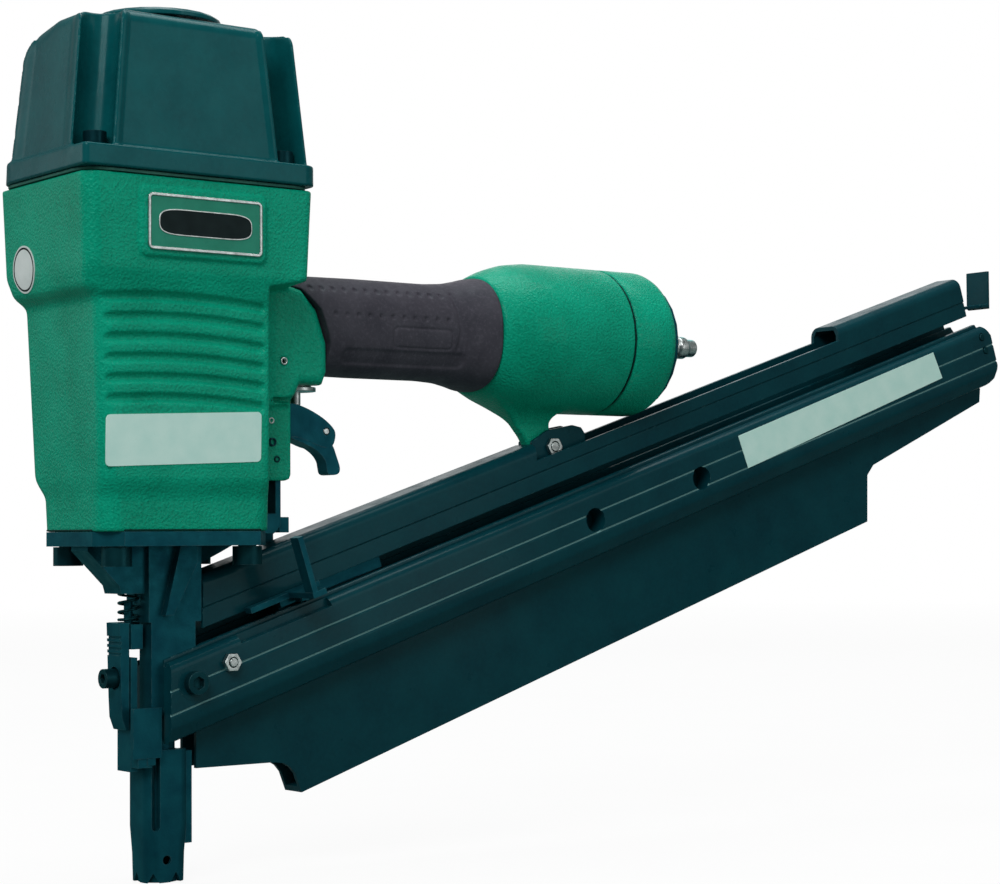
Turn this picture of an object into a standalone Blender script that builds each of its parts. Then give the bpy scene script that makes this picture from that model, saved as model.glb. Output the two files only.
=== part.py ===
"""Pneumatic strip nail gun with an 18 degree magazine.

World frame: Z = 0 at the tip of the contact foot and +Z up the drive axis.  +X points
rearwards, to the handle, the air reservoir and the tail of the magazine.  -Y is the side with
the name badge.  The world origin is in the middle of the tool's length and width.

Every X below is measured from the drive axis, and the finished tool is moved by DRIVE_X at the
end.  Every size is in millimetres; MM turns it into Blender's metres.
"""
import math

import bmesh
import bpy
from mathutils import Matrix, Vector

MM = 0.001
GAP = 0.3                      # running and assembly clearance between neighbours
DRIVE_X = -241.0               # the drive axis, ahead of the middle of the tool's length

# ---- head and housing -------------------------------------------------------------------
BASE_Z = 152.5                 # underside of the casting
HEAD_Z = 300.6                 # top flange of the casting
CAP_Z = 302.4                  # underside of the cap flange
CAP_TOP_Z = 371.0
DEFLECTOR_TOP_Z = 376.6
CAP_SCREW_X, CAP_SCREW_Y = 46.0, 29.0
FLUTE_SEAT_Z = 312.0
BADGE_X, BADGE_Y, BADGE_Z = (-31.0, 26.0), (-42.0, -40.8), (269.0, 291.0)
HOUSING = (                    # height, half length, half width, corner radius
    (BASE_Z, 43.0, 31.0, 12.0),
    (166.0, 43.5, 31.5, 12.0),
    (173.0, 44.5, 34.0, 13.0),
    (248.0, 48.0, 36.0, 14.0),
    (259.0, 54.0, 39.0, 13.0),
    (HEAD_Z, 56.0, 40.3, 12.0),
)
RETURN_CHAMBER = ((176.0, 36.0, 29.2, 22.0), (182.0, 39.0, 30.0, 24.0), (220.0, 40.5, 31.0, 25.0))
MAIN_CHAMBER = ((228.0, 41.0, 31.3, 25.0), (248.0, 42.0, 31.5, 26.0), (262.0, 47.0, 33.0, 26.0),
                (306.0, 47.0, 33.0, 26.0))
CAP_WALL = ((CAP_Z, 57.6, 42.2, 12.0), (311.0, 57.6, 42.2, 12.0), (312.4, 55.4, 39.2, 11.0),
            (366.0, 50.0, 36.6, 11.0), (369.5, 48.0, 34.6, 10.0), (CAP_TOP_Z, 44.5, 31.0, 9.0))
CAP_CAVITY = ((301.0, 47.0, 33.0, 26.0), (312.0, 47.0, 33.0, 26.0), (365.0, 42.5, 30.5, 25.0))

# ---- drive ------------------------------------------------------------------------------
BORE_R = 25.0
SLEEVE_R = 27.5
SLEEVE_Z = (151.8, 314.0)
SEAL_R, SEAL_Z = 28.75, 224.0
BUMPER_TOP_Z = 183.5
PISTON_Z = (292.0, 312.0)
BLADE_TIP_Z = 116.0
BLADE_HALF = (3.0, 2.75)
HEAD_VALVE_Z = (314.4, 340.0)

# ---- handle and reservoir ---------------------------------------------------------------
AIR_AXIS_Z = 245.0             # centre line of the handle and the reservoir
CORE_HALF = (17.2, 20.2)       # handle core: half width, half height
PASSAGE_HALF = (12.5, 15.0)
BELL_X = 171.0
RESERVOIR_END_X = 245.5
RESERVOIR_R = 36.5
END_CAP_X = (246.9, 275.0)
PLUG_TIP_X = 315.4

# ---- trigger ----------------------------------------------------------------------------
EAR_Y = (10.0, 14.0)
TRIGGER_AXIS = (49.9, 190.8)   # X, Z of each cross pin
TONGUE_AXIS = (82.5, 196.5)
GUIDE_PINS = ((52.4, 183.2), (49.5, 200.4))
VALVE_X = 71.0

# ---- nose and safety --------------------------------------------------------------------
NOSE_PLATE_Z = (145.0, 151.2)
BASE_SCREW_X, BASE_SCREW_Y = 32.0, 22.0
COLUMN_X = (-10.0, 13.0)
COLUMN_HALF_Y = 10.0
COLUMN_Z = 72.0
BARREL_R = 7.4
BARREL_TIP_Z = 11.0
DRIVE_BORE_R = 4.7
NAIL_SLOT_HALF_Y = 4.2
NAIL_SLOT_TOP_Z = 118.0
FOOT_BORE_R = 8.2
FOOT_TOP_Z = 57.0
SPRING_X = -14.6
SPRING_Z = (112.6, 137.4)
ADJUSTER_SCREW_Z = 88.2
ARM_Y = (10.9, 13.4)

# ---- magazine: "along" runs up the slope from the drive axis, "up" is square to it --------
SLOPE = math.radians(18.0)
CHEEK_Y = (7.3, 17.0)
CHEEK_UP = (58.2, 91.5)
RAIL_HALF_Y = 10.5
RAIL_WALL = 2.2
RAIL_UP = (92.0, 120.6)
RAIL_FRONT_X = 16.5
RAIL_END_ALONG = 576.0
OPENING_X = (203.5, 413.0)     # open stretch of the rail, under the reservoir
LOW_WALL_UP = 112.9            # height of the rail walls in that stretch
GUIDE_HALF_Y = 7.0
GUIDE_SLOT_HALF_Y = 5.0
GUIDE_FLOOR_UP = 13.1
CARRIAGE_ALONG = (92.0, 150.0)
LEVER_PIN = (104.0, 94.5)      # along, up
FRONT_BOLT = (8.1, 85.7)       # X, Z of each cross bolt, stud and pin
FRONT_STUD = (26.1, 94.0)
STRUT_BOLT = (217.0, 192.0)
REAR_PINS = ((525.2, 252.1), (521.9, 259.4))
CHEEK_HOLES = ((235.0, 155.8), (305.7, 177.1))

LARGE_STEPS = 24               # facets round a large turned piece
SMALL_STEPS = 12               # facets round a pin or a screw

parts = None
cutters = None


# =========================================================================================
# scene and materials
# =========================================================================================
def start_scene():
    """Empty the scene and make one collection for the parts and one for the cutters."""
    global parts, cutters
    for item in list(bpy.data.objects):
        bpy.data.objects.remove(item)
    parts = bpy.data.collections.new("pneumatic_nail_gun")
    cutters = bpy.data.collections.new("cutters")
    bpy.context.scene.collection.children.link(parts)
    bpy.context.scene.collection.children.link(cutters)


def finish(name, colour, roughness, metallic):
    """Return a Principled material, made once for each name."""
    found = bpy.data.materials.get(name)
    if found:
        return found
    made = bpy.data.materials.new(name)
    made.use_nodes = True
    shader = made.node_tree.nodes["Principled BSDF"]
    shader.inputs["Base Color"].default_value = (*colour, 1.0)
    shader.inputs["Roughness"].default_value = roughness
    shader.inputs["Metallic"].default_value = metallic
    made.diffuse_color = (*colour, 1.0)
    return made


def green_enamel(name):
    return finish(name, (0.006, 0.23, 0.11), 0.35, 0.1)


def dark_enamel(name):
    return finish(name, (0.010, 0.032, 0.034), 0.35, 0.3)


def bare_steel(name):
    return finish(name, (0.55, 0.56, 0.55), 0.3, 1.0)


def black_steel(name):
    return finish(name, (0.02, 0.025, 0.028), 0.4, 0.6)


def soft_rubber(name):
    return finish(name, (0.045, 0.035, 0.03), 0.75, 0.0)


def aluminium(name):
    return finish(name, (0.6, 0.6, 0.6), 0.35, 1.0)


def clear_plastic(name):
    return finish(name, (0.75, 0.7, 0.5), 0.5, 0.0)


# =========================================================================================
# modelling helpers
# =========================================================================================
def place(name, data, look=None):
    """Link a new object: a part when it has a look, otherwise a cutter."""
    thing = bpy.data.objects.new(name, data)
    if look:
        data.materials.append(look)
        parts.objects.link(thing)
    else:
        cutters.objects.link(thing)
        thing.hide_render = True
        thing.display_type = "WIRE"
    return thing


def mesh_of(name, shape, smooth=True):
    """Turn a bmesh into a mesh with outward normals and sharp corners kept sharp."""
    bmesh.ops.recalc_face_normals(shape, faces=shape.faces)
    mesh = bpy.data.meshes.new(name)
    shape.to_mesh(mesh)
    shape.free()
    if smooth:
        mesh.shade_smooth()
        mesh.set_sharp_from_angle(angle=math.radians(35))
    return mesh


def box(name, x, y, z, look=None):
    """A box between pairs of limits."""
    shape = bmesh.new()
    bmesh.ops.create_cube(shape, size=1.0)
    size = Vector((x[1] - x[0], y[1] - y[0], z[1] - z[0])) * MM
    centre = Vector((x[0] + x[1], y[0] + y[1], z[0] + z[1])) * MM / 2
    bmesh.ops.scale(shape, vec=size, verts=shape.verts)
    bmesh.ops.translate(shape, vec=centre, verts=shape.verts)
    return place(name, mesh_of(name, shape, smooth=False), look)


def rod(name, start, end, radius, look=None, facets=SMALL_STEPS):
    """A round bar between two points."""
    low, high = Vector(start) * MM, Vector(end) * MM
    shape = bmesh.new()
    bmesh.ops.create_cone(shape, cap_ends=True, segments=facets, radius1=radius * MM,
                          radius2=radius * MM, depth=(high - low).length)
    turn = Vector((0, 0, 1)).rotation_difference(high - low).to_matrix().to_4x4()
    bmesh.ops.transform(shape, matrix=Matrix.Translation((low + high) / 2) @ turn, verts=shape.verts)
    return place(name, mesh_of(name, shape), look)


def cross_pin(name, spot, y, radius, look, facets=SMALL_STEPS):
    """A round bar along Y, at an X, Z place."""
    return rod(name, (spot[0], y[0], spot[1]), (spot[0], y[1], spot[1]), radius, look, facets)


def cross_hole(name, spot, y, radius, facets=SMALL_STEPS):
    """The cutter for a round hole along Y, at an X, Z place."""
    return cross_pin(name, spot, y, radius, None, facets)


def solid_from_curve(flat, look):
    """Replace a filled curve by a welded mesh, so that it can be cut and joined."""
    bpy.context.scene.collection.objects.link(flat)
    bpy.context.view_layer.update()
    evaluated = flat.evaluated_get(bpy.context.evaluated_depsgraph_get())
    mesh = bpy.data.meshes.new_from_object(evaluated)
    shape = bmesh.new()
    shape.from_mesh(mesh)
    bmesh.ops.remove_doubles(shape, verts=shape.verts, dist=0.001 * MM)
    bmesh.ops.recalc_face_normals(shape, faces=shape.faces)
    shape.to_mesh(mesh)
    shape.free()
    mesh.materials.clear()
    mesh.shade_smooth()
    mesh.set_sharp_from_angle(angle=math.radians(35))
    solid = place(flat.name + "_solid", mesh, look)
    solid.matrix_world = flat.matrix_world.copy()
    name, data = flat.name, flat.data
    bpy.data.objects.remove(flat)
    bpy.data.curves.remove(data)
    solid.name = name
    return solid


def flat_curve(name, outlines, thickness):
    """A filled 2D curve: the first outline is the edge, the others are holes."""
    curve = bpy.data.curves.new(name, "CURVE")
    curve.dimensions = "2D"
    curve.fill_mode = "BOTH"
    curve.extrude = thickness * MM / 2
    for outline in outlines:
        spline = curve.splines.new("POLY")
        spline.points.add(len(outline) - 1)
        spline.use_cyclic_u = True
        for point, (u, v) in zip(spline.points, outline):
            point.co = (u * MM, v * MM, 0.0, 1.0)
    return bpy.data.objects.new(name, curve)


def side_plate(name, outline, y, look=None, holes=()):
    """A plate whose outline lies in the XZ plane, between two limits of Y."""
    flat = flat_curve(name, (outline, *holes), y[1] - y[0])
    flat.rotation_euler = (math.radians(90), 0, 0)
    flat.location = (0, (y[0] + y[1]) / 2 * MM, 0)
    return solid_from_curve(flat, look)


def level_plate(name, outline, z, look=None, holes=()):
    """A plate whose outline lies in the XY plane, between two limits of Z."""
    flat = flat_curve(name, (outline, *holes), z[1] - z[0])
    flat.location = (0, 0, (z[0] + z[1]) / 2 * MM)
    return solid_from_curve(flat, look)


def turned(name, profile, look=None, steps=LARGE_STEPS, axis="Z", centre=(0.0, 0.0, 0.0)):
    """Turn a (radius, height) profile, listed down its outer side, about an axis.

    A profile that starts off the axis is closed into a ring.
    """
    shape = bmesh.new()
    verts = [shape.verts.new((radius * MM, 0.0, height * MM)) for radius, height in profile]
    for first, second in zip(verts, verts[1:]):
        shape.edges.new((first, second))
    if profile[0][0] > 0:
        shape.edges.new((verts[-1], verts[0]))
    mesh = bpy.data.meshes.new(name)
    shape.to_mesh(mesh)
    shape.free()
    thing = place(name, mesh, look)
    thing.location = Vector(centre) * MM
    if axis == "X":
        thing.rotation_euler = (0, math.radians(90), 0)
    if axis == "Y":
        thing.rotation_euler = (math.radians(-90), 0, 0)
    screw = thing.modifiers.new("turn", "SCREW")
    screw.steps = steps
    screw.render_steps = steps
    screw.use_merge_vertices = True
    screw.merge_threshold = 0.00001
    screw.use_smooth_shade = False
    return thing


def loft(name, loops, look=None):
    """Skin a solid through loops that have the same number of points."""
    shape = bmesh.new()
    rings = [[shape.verts.new(Vector(point) * MM) for point in loop] for loop in loops]
    for low, high in zip(rings, rings[1:]):
        for index in range(len(low)):
            after = (index + 1) % len(low)
            shape.faces.new((low[index], low[after], high[after], high[index]))
    shape.faces.new(rings[0])
    shape.faces.new(rings[-1])
    return place(name, mesh_of(name, shape), look)


def rounded_rectangle(half_x, half_y, radius, per_corner=5):
    """Points round a rectangle with rounded corners, counter-clockwise."""
    points = []
    for quarter, (side_x, side_y) in enumerate(((1, 1), (-1, 1), (-1, -1), (1, -1))):
        for step in range(per_corner):
            angle = math.radians(90) * (quarter + step / (per_corner - 1))
            points.append((side_x * (half_x - radius) + radius * math.cos(angle),
                           side_y * (half_y - radius) + radius * math.sin(angle)))
    return points


def tower(name, sections, look=None):
    """A loft of level rounded rectangles: (height, half x, half y, corner radius)."""
    loops = [[(x, y, height) for x, y in rounded_rectangle(half_x, half_y, radius)]
             for height, half_x, half_y, radius in sections]
    return loft(name, loops, look)


def tunnel(name, sections, look=None, points=20):
    """A loft of upright ovals along the handle: (x, half width, half height)."""
    loops = []
    for x, half_width, half_height in sections:
        loop = []
        for step in range(points):
            angle = 2 * math.pi * step / points
            loop.append((x, half_width * squared_cosine(angle),
                         AIR_AXIS_Z + half_height * squared_cosine(angle - math.pi / 2)))
        loops.append(loop)
    return loft(name, loops, look)


def squared_cosine(angle, power=0.85):
    """Cosine with a fuller belly, for an oval that is a little square."""
    value = math.cos(angle)
    return math.copysign(abs(value) ** power, value)


def coil(name, centre, z, radius, wire, turns, look):
    """A compression spring on an upright axis, its wire ends inside the z limits."""
    curve = bpy.data.curves.new(name, "CURVE")
    curve.dimensions = "3D"
    curve.bevel_depth = wire * MM
    curve.bevel_resolution = 2
    curve.use_fill_caps = True
    spline = curve.splines.new("POLY")
    per_turn = 8
    steps = turns * per_turn
    spline.points.add(steps)
    low, high = z[0] + wire, z[1] - wire
    for index, point in enumerate(spline.points):
        angle = 2 * math.pi * index / per_turn
        point.co = (radius * math.cos(angle) * MM, radius * math.sin(angle) * MM,
                    (low + (high - low) * index / steps - z[1]) * MM, 1.0)
    wound = bpy.data.objects.new(name, curve)
    wound.location = (centre[0] * MM, centre[1] * MM, z[1] * MM)
    return solid_from_curve(wound, look)


def combine(target, others, operation):
    """Add Boolean modifiers that join or cut the target with each of the others."""
    for other in others:
        step = target.modifiers.new(other.name, "BOOLEAN")
        step.operation = operation
        step.solver = "EXACT"
        step.object = other
        if other.name not in cutters.objects:
            cutters.objects.link(other)
        other.hide_render = True
        other.display_type = "WIRE"
    return target


def cut(target, *others):
    return combine(target, others, "DIFFERENCE")


def join(target, *others):
    return combine(target, others, "UNION")


def set_origin(thing, point):
    """Move an object's origin to a world point and leave its shape where it is."""
    here = Vector(point) * MM
    bpy.context.view_layer.update()
    local = thing.matrix_world.inverted() @ here
    thing.data.transform(Matrix.Translation(-local))
    thing.location = here


def bake(thing):
    """Apply an object's modifiers, so that copies can share the finished mesh."""
    bpy.context.view_layer.update()
    evaluated = thing.evaluated_get(bpy.context.evaluated_depsgraph_get())
    mesh = bpy.data.meshes.new_from_object(evaluated)
    thing.modifiers.clear()
    thing.data = mesh


def slope_point(along, up):
    """World X and Z of a point given along and square to the magazine's slope."""
    return (along * math.cos(SLOPE) - up * math.sin(SLOPE),
            along * math.sin(SLOPE) + up * math.cos(SLOPE))


def slope_box(name, along, y, up, look=None):
    """A box that lies on the magazine's slope."""
    tilted = box(name, along, y, up, look)
    tilted.rotation_euler = (0, -SLOPE, 0)
    return tilted


def arc(centre, radius, start, end, steps=5):
    """Points on an arc, angles in degrees."""
    points = []
    for step in range(steps + 1):
        angle = math.radians(start + (end - start) * step / steps)
        points.append((centre[0] + radius * math.cos(angle), centre[1] + radius * math.sin(angle)))
    return points


def circle(centre, radius, steps=SMALL_STEPS):
    return arc(centre, radius, 0, 360 - 360 / steps, steps - 1)


def four_corners(x, y):
    return [(-x, -y), (x, -y), (x, y), (-x, y)]


def socket_screws(prefix, places, seat_z, head_r, head_height, shank_r, shank_length, down):
    """Copies of one socket screw whose heads sit on a level seat."""
    way = -1.0 if down else 1.0
    head_end = seat_z - way * head_height
    first = rod(prefix + "_1", (0, 0, seat_z), (0, 0, head_end), head_r, black_steel("screw_steel"), 16)
    join(first, rod(prefix + "_shank", (0, 0, seat_z - way), (0, 0, seat_z + way * shank_length),
                    shank_r, None, 12))
    cut(first, rod(prefix + "_socket", (0, 0, head_end - way), (0, 0, head_end + way * head_height * 0.5),
                   head_r * 0.55, None, 6))
    bake(first)
    screws = [first]
    for number in range(2, len(places) + 1):
        copy = bpy.data.objects.new("%s_%d" % (prefix, number), first.data)
        parts.objects.link(copy)
        screws.append(copy)
    for screw, (x, y) in zip(screws, places):
        screw.location = (x * MM, y * MM, 0)
    return screws


def hex_along_y(name, centre, y, across_flats, hole_r, look):
    """A hexagon nut or bolt head whose axis lies along Y."""
    corner = across_flats / math.sqrt(3)
    outline = circle(centre, corner, 6)
    holes = (circle(centre, hole_r, 12),) if hole_r else ()
    return side_plate(name, outline, y, look, holes)


# =========================================================================================
# casting and head
# =========================================================================================
def handle_root_outline(grow=0.0):
    """Side outline of the green root that carries the handle and the trigger valve."""
    return [(40 - grow, 262 + grow), (56, 262 + grow), (64.9 + grow, 259.7 + grow),
            (73 + grow, 251 + grow), (78.3 + grow, 236), (78.3 + grow, 223),
            (76 + grow, 217 - grow), (64 - grow, 217 - grow), (61 - grow, 211), (58, 207 - grow),
            (40 - grow, 206 - grow)]


def body_casting():
    """One casting: head housing, handle core, reservoir bell, trigger ears and rail strut."""
    casting = tower("body_casting", HOUSING, green_enamel("casting_green"))
    root = side_plate("root_block", handle_root_outline(), (-17.0, 17.0))
    core = tunnel("handle_core", [(38, *CORE_HALF), (180, *CORE_HALF)])
    bell = turned("reservoir_bell", [(0, RESERVOIR_END_X), (RESERVOIR_R, RESERVOIR_END_X),
                                     (RESERVOIR_R, 200), (35.2, 189), (32.2, 179), (28.4, BELL_X),
                                     (0, BELL_X)],
                  steps=32, axis="X", centre=(0, 0, AIR_AXIS_Z))
    ear_outline = [(38, 175), *arc((57, 176.4), 3, -90, 0, 3), (60, 212), (38, 212)]
    near_ear = side_plate("near_ear", ear_outline, (-EAR_Y[1], -EAR_Y[0]))
    far_ear = side_plate("far_ear", ear_outline, EAR_Y)
    strut = loft("strut", [[(182, -6, 216), (217, -6, 216), (217, 6, 216), (182, 6, 216)],
                           [(194, -3.2, 205), (217, -3.2, 205), (217, 3.2, 205), (194, 3.2, 205)],
                           [(201, -3.2, 197), (218, -3.2, 197), (218, 3.2, 197), (201, 3.2, 197)],
                           [(207, -3.2, 188), (222, -3.2, 188), (222, 3.2, 188), (207, 3.2, 188)]])
    join(casting, root, core, bell, near_ear, far_ear, strut)

    passage = tunnel("air_passage", [(36, *PASSAGE_HALF), (182, *PASSAGE_HALF)])
    tank = turned("reservoir_room", [(0, 250), (33, 250), (33, 198), (30, 188), (16, 178), (0, 178)],
                  steps=32, axis="X", centre=(0, 0, AIR_AXIS_Z))
    trigger_room = box("trigger_room", (49, 64), (-EAR_Y[0], EAR_Y[0]), (200, 214))
    cut(casting,
        tower("return_chamber", RETURN_CHAMBER),
        tower("main_chamber", MAIN_CHAMBER),
        rod("lower_seat", (0, 0, 150), (0, 0, 178), SLEEVE_R + GAP, None, LARGE_STEPS),
        rod("seal_seat", (0, 0, 218), (0, 0, 230), 30.0, None, LARGE_STEPS),
        trigger_room,
        rod("valve_seat", (VALVE_X, 0, 205), (VALVE_X, 0, 244), 7.9, None, 16),
        rod("valve_flange_room", (VALVE_X, 0, 205), (VALVE_X, 0, 216.9), 10.2, None, 16),
        cross_hole("trigger_pin_hole", TRIGGER_AXIS, (-20, 20), 2.3),
        cross_hole("roll_pin_hole", (55.8, 228.6), (-20, -12), 1.9),
        cross_hole("strut_hole", STRUT_BOLT, (-9, 9), 2.7))
    for number, spot in enumerate(GUIDE_PINS):
        cut(casting, cross_hole("guide_hole_%d" % number, spot, (-20, 20), 1.8))
    for number, (x, y) in enumerate(four_corners(BASE_SCREW_X, BASE_SCREW_Y)):
        cut(casting, rod("base_thread_%d" % number, (x, y, 150), (x, y, 173), 4.3, None, 12))
    for number, (x, y) in enumerate(four_corners(CAP_SCREW_X, CAP_SCREW_Y)):
        cut(casting, rod("cap_thread_%d" % number, (x, y, 286), (x, y, 303), 3.3, None, 12))
    return cut(casting, passage, tank)


def head_cap():
    """Tapered cap with four screw flutes, a valve housing inside and exhaust ports on top."""
    cap = tower("head_cap", CAP_WALL, dark_enamel("cap_dark"))
    cut(cap, tower("cap_cavity", CAP_CAVITY))
    join(cap, turned("valve_housing", [(26.3, 367), (30, 367), (30, 330), (26.3, 330)]))
    join(cap, rod("deflector_boss", (0, 0, 356), (0, 0, 368), 8.0, None, 16))
    for number, (x, y) in enumerate(four_corners(CAP_SCREW_X, CAP_SCREW_Y)):
        lean = 1.0 + 2.0 / CAP_SCREW_X
        cut(cap, rod("flute_%d" % number, (x * lean, y * lean, FLUTE_SEAT_Z), (x * lean, y * lean, 380),
                     7.5, None, 16))
        cut(cap, rod("cap_hole_%d" % number, (x, y, 300), (x, y, 314), 3.3, None, 12))
    for number in range(4):
        angle = math.radians(45 + 90 * number)
        spot = (15 * math.cos(angle), 15 * math.sin(angle))
        cut(cap, rod("exhaust_port_%d" % number, (*spot, 360), (*spot, 375), 4.0, None, 12))
    cut(cap, rod("deflector_thread", (0, 0, 357.5), (0, 0, 375), 3.3, None, 12))
    return cap


def head_fittings():
    """Gasket, cap screws, exhaust deflector and the badge on the near side."""
    edge = rounded_rectangle(56.3, 40.6, 12.0)
    room = rounded_rectangle(47.4, 33.4, 26.0)
    holes = [circle(spot, 3.4, 12) for spot in four_corners(CAP_SCREW_X, CAP_SCREW_Y)]
    level_plate("cap_gasket", edge, (HEAD_Z + GAP, CAP_Z - GAP), soft_rubber("gasket_grey"),
                (room, *holes))
    socket_screws("cap_screw", four_corners(CAP_SCREW_X, CAP_SCREW_Y), FLUTE_SEAT_Z + GAP, 5.0, 6.0,
                  3.0, 24.0, down=True)
    turned("exhaust_deflector",
           [(3.4, 375.2), (6.5, 375.2), (6.5, DEFLECTOR_TOP_Z), (26, DEFLECTOR_TOP_Z), (28, 375.2),
            (28, 373.4), (25, 373.4), (23, 374.0), (9, 374.0), (8, CAP_TOP_Z + GAP),
            (3.4, CAP_TOP_Z + GAP)], dark_enamel("deflector_dark"))
    screw = rod("deflector_screw", (0, 0, 375.5), (0, 0, 377.4), 5.2, black_steel("screw_steel"), 16)
    join(screw, rod("deflector_shank", (0, 0, 359), (0, 0, 376), 3.0, None, 12))
    side_plate("name_badge", rounded_badge(), BADGE_Y, bare_steel("badge_metal"))


def rounded_badge():
    """Outline of the badge plate: a rectangle with small corner radii."""
    (left, right), (low, high), radius = BADGE_X, BADGE_Z, 2.0
    return (arc((right - radius, high - radius), radius, 0, 90, 3)
            + arc((left + radius, high - radius), radius, 90, 180, 3)
            + arc((left + radius, low + radius), radius, 180, 270, 3)
            + arc((right - radius, low + radius), radius, 270, 360, 3))


# =========================================================================================
# drive
# =========================================================================================
def drive_parts():
    """Cylinder, bumper, piston with its blade, and the head valve with its spring."""
    sleeve = turned("cylinder_sleeve",
                    [(BORE_R, SLEEVE_Z[1]), (SLEEVE_R, SLEEVE_Z[1]), (SLEEVE_R, SLEEVE_Z[0]),
                     (BORE_R, SLEEVE_Z[0])], aluminium("sleeve_metal"))
    for number in range(3):
        angle = math.radians(30 + 60 * number)
        reach = (32 * math.cos(angle), 32 * math.sin(angle))
        cut(sleeve, rod("return_port_%d" % number, (-reach[0], -reach[1], 192), (*reach, 192),
                        2.0, None, 8))
    seal_section = list(reversed(circle((SEAL_R, SEAL_Z), 0.95, 6)))
    turned("cylinder_seal", seal_section, soft_rubber("seal_black"))
    turned("bumper", [(8, BUMPER_TOP_Z), (20, BUMPER_TOP_Z), (22, 176), (24.5, 160),
                      (24.5, SLEEVE_Z[0]), (8, SLEEVE_Z[0])], soft_rubber("bumper_black"))
    piston = turned("piston", [(0, PISTON_Z[1]), (24.5, PISTON_Z[1]), (24.5, 304), (22.5, 304),
                               (22.5, 300), (24.5, 300), (24.5, 294), (22, PISTON_Z[0]),
                               (0, PISTON_Z[0])], aluminium("piston_metal"))
    cut(piston, box("blade_pocket", (-3.4, 3.4), (-3.1, 3.1), (285, 304)))
    turned("piston_ring", [(22.8, 303.7), (24.75, 303.7), (24.75, 300.3), (22.8, 300.3)],
           soft_rubber("ring_black"))
    box("driver_blade", (-BLADE_HALF[0], BLADE_HALF[0]), (-BLADE_HALF[1], BLADE_HALF[1]),
        (BLADE_TIP_Z, 303.6), bare_steel("blade_steel"))
    turned("head_valve", [(12, HEAD_VALVE_Z[1]), (25.6, HEAD_VALVE_Z[1]), (25.6, 321), (29.5, 320),
                          (29.5, HEAD_VALVE_Z[0]), (12, HEAD_VALVE_Z[0])],
           clear_plastic("valve_plastic"))
    coil("head_valve_spring", (0, 0), (340.4, 364.6), 19.0, 1.2, 3, bare_steel("spring_steel"))


# =========================================================================================
# handle and reservoir
# =========================================================================================
def handle_parts():
    """Rubber grip, reservoir end cap with its gasket and rear plate, and the air plug."""
    grip = tunnel("grip_sleeve", [(62, 18.4, 22.0), (74, 19.2, 22.6), (100, 19.5, 23.0),
                                  (140, 19.8, 23.0), (152, 21.0, 23.8), (162, 24.5, 25.8),
                                  (167, 27.0, 27.2), (BELL_X - GAP, 27.4, 27.4)],
                  soft_rubber("grip_rubber"))
    cut(grip, tunnel("grip_bore", [(50, CORE_HALF[0] + GAP, CORE_HALF[1] + GAP),
                                   (180, CORE_HALF[0] + GAP, CORE_HALF[1] + GAP)]),
        side_plate("root_relief", handle_root_outline(0.5), (-30.0, 30.0)))
    centre = (0, 0, AIR_AXIS_Z)
    turned("end_cap_gasket", [(33.3, 246.6), (RESERVOIR_R - 0.4, 246.6), (RESERVOIR_R - 0.4, 245.8),
                              (33.3, 245.8)], soft_rubber("gasket_grey"), axis="X", centre=centre)
    turned("reservoir_end_cap",
           [(6.9, END_CAP_X[1]), (31.5, END_CAP_X[1]), (35, 273.3), (RESERVOIR_R, 269.5),
            (RESERVOIR_R, END_CAP_X[0]), (32.7, END_CAP_X[0]), (32.7, 239), (30, 239), (30, 268),
            (6.9, 268)], green_enamel("end_cap_green"), steps=32, axis="X", centre=centre)
    turned("end_plate", [(6.9, 277.0), (32.5, 277.0), (32.5, END_CAP_X[1] + GAP),
                         (6.9, END_CAP_X[1] + GAP)], black_steel("plate_black"),
           axis="X", centre=centre)
    plug = turned("air_plug",
                  [(2.8, PLUG_TIP_X), (4.5, PLUG_TIP_X), (4.5, 309.5), (5.7, 308.5), (5.7, 304.5),
                   (3.9, 303), (3.9, 299.5), (5.7, 298), (5.7, 290), (6.4, 289), (6.4, 266),
                   (2.8, 266)], bare_steel("plug_steel"), steps=16, axis="X", centre=centre)
    join(plug, turned("plug_hexagon", [(5.0, 286), (9.8, 286), (9.8, 277.4), (5.0, 277.4)], None, 6,
                      "X", centre))


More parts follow.
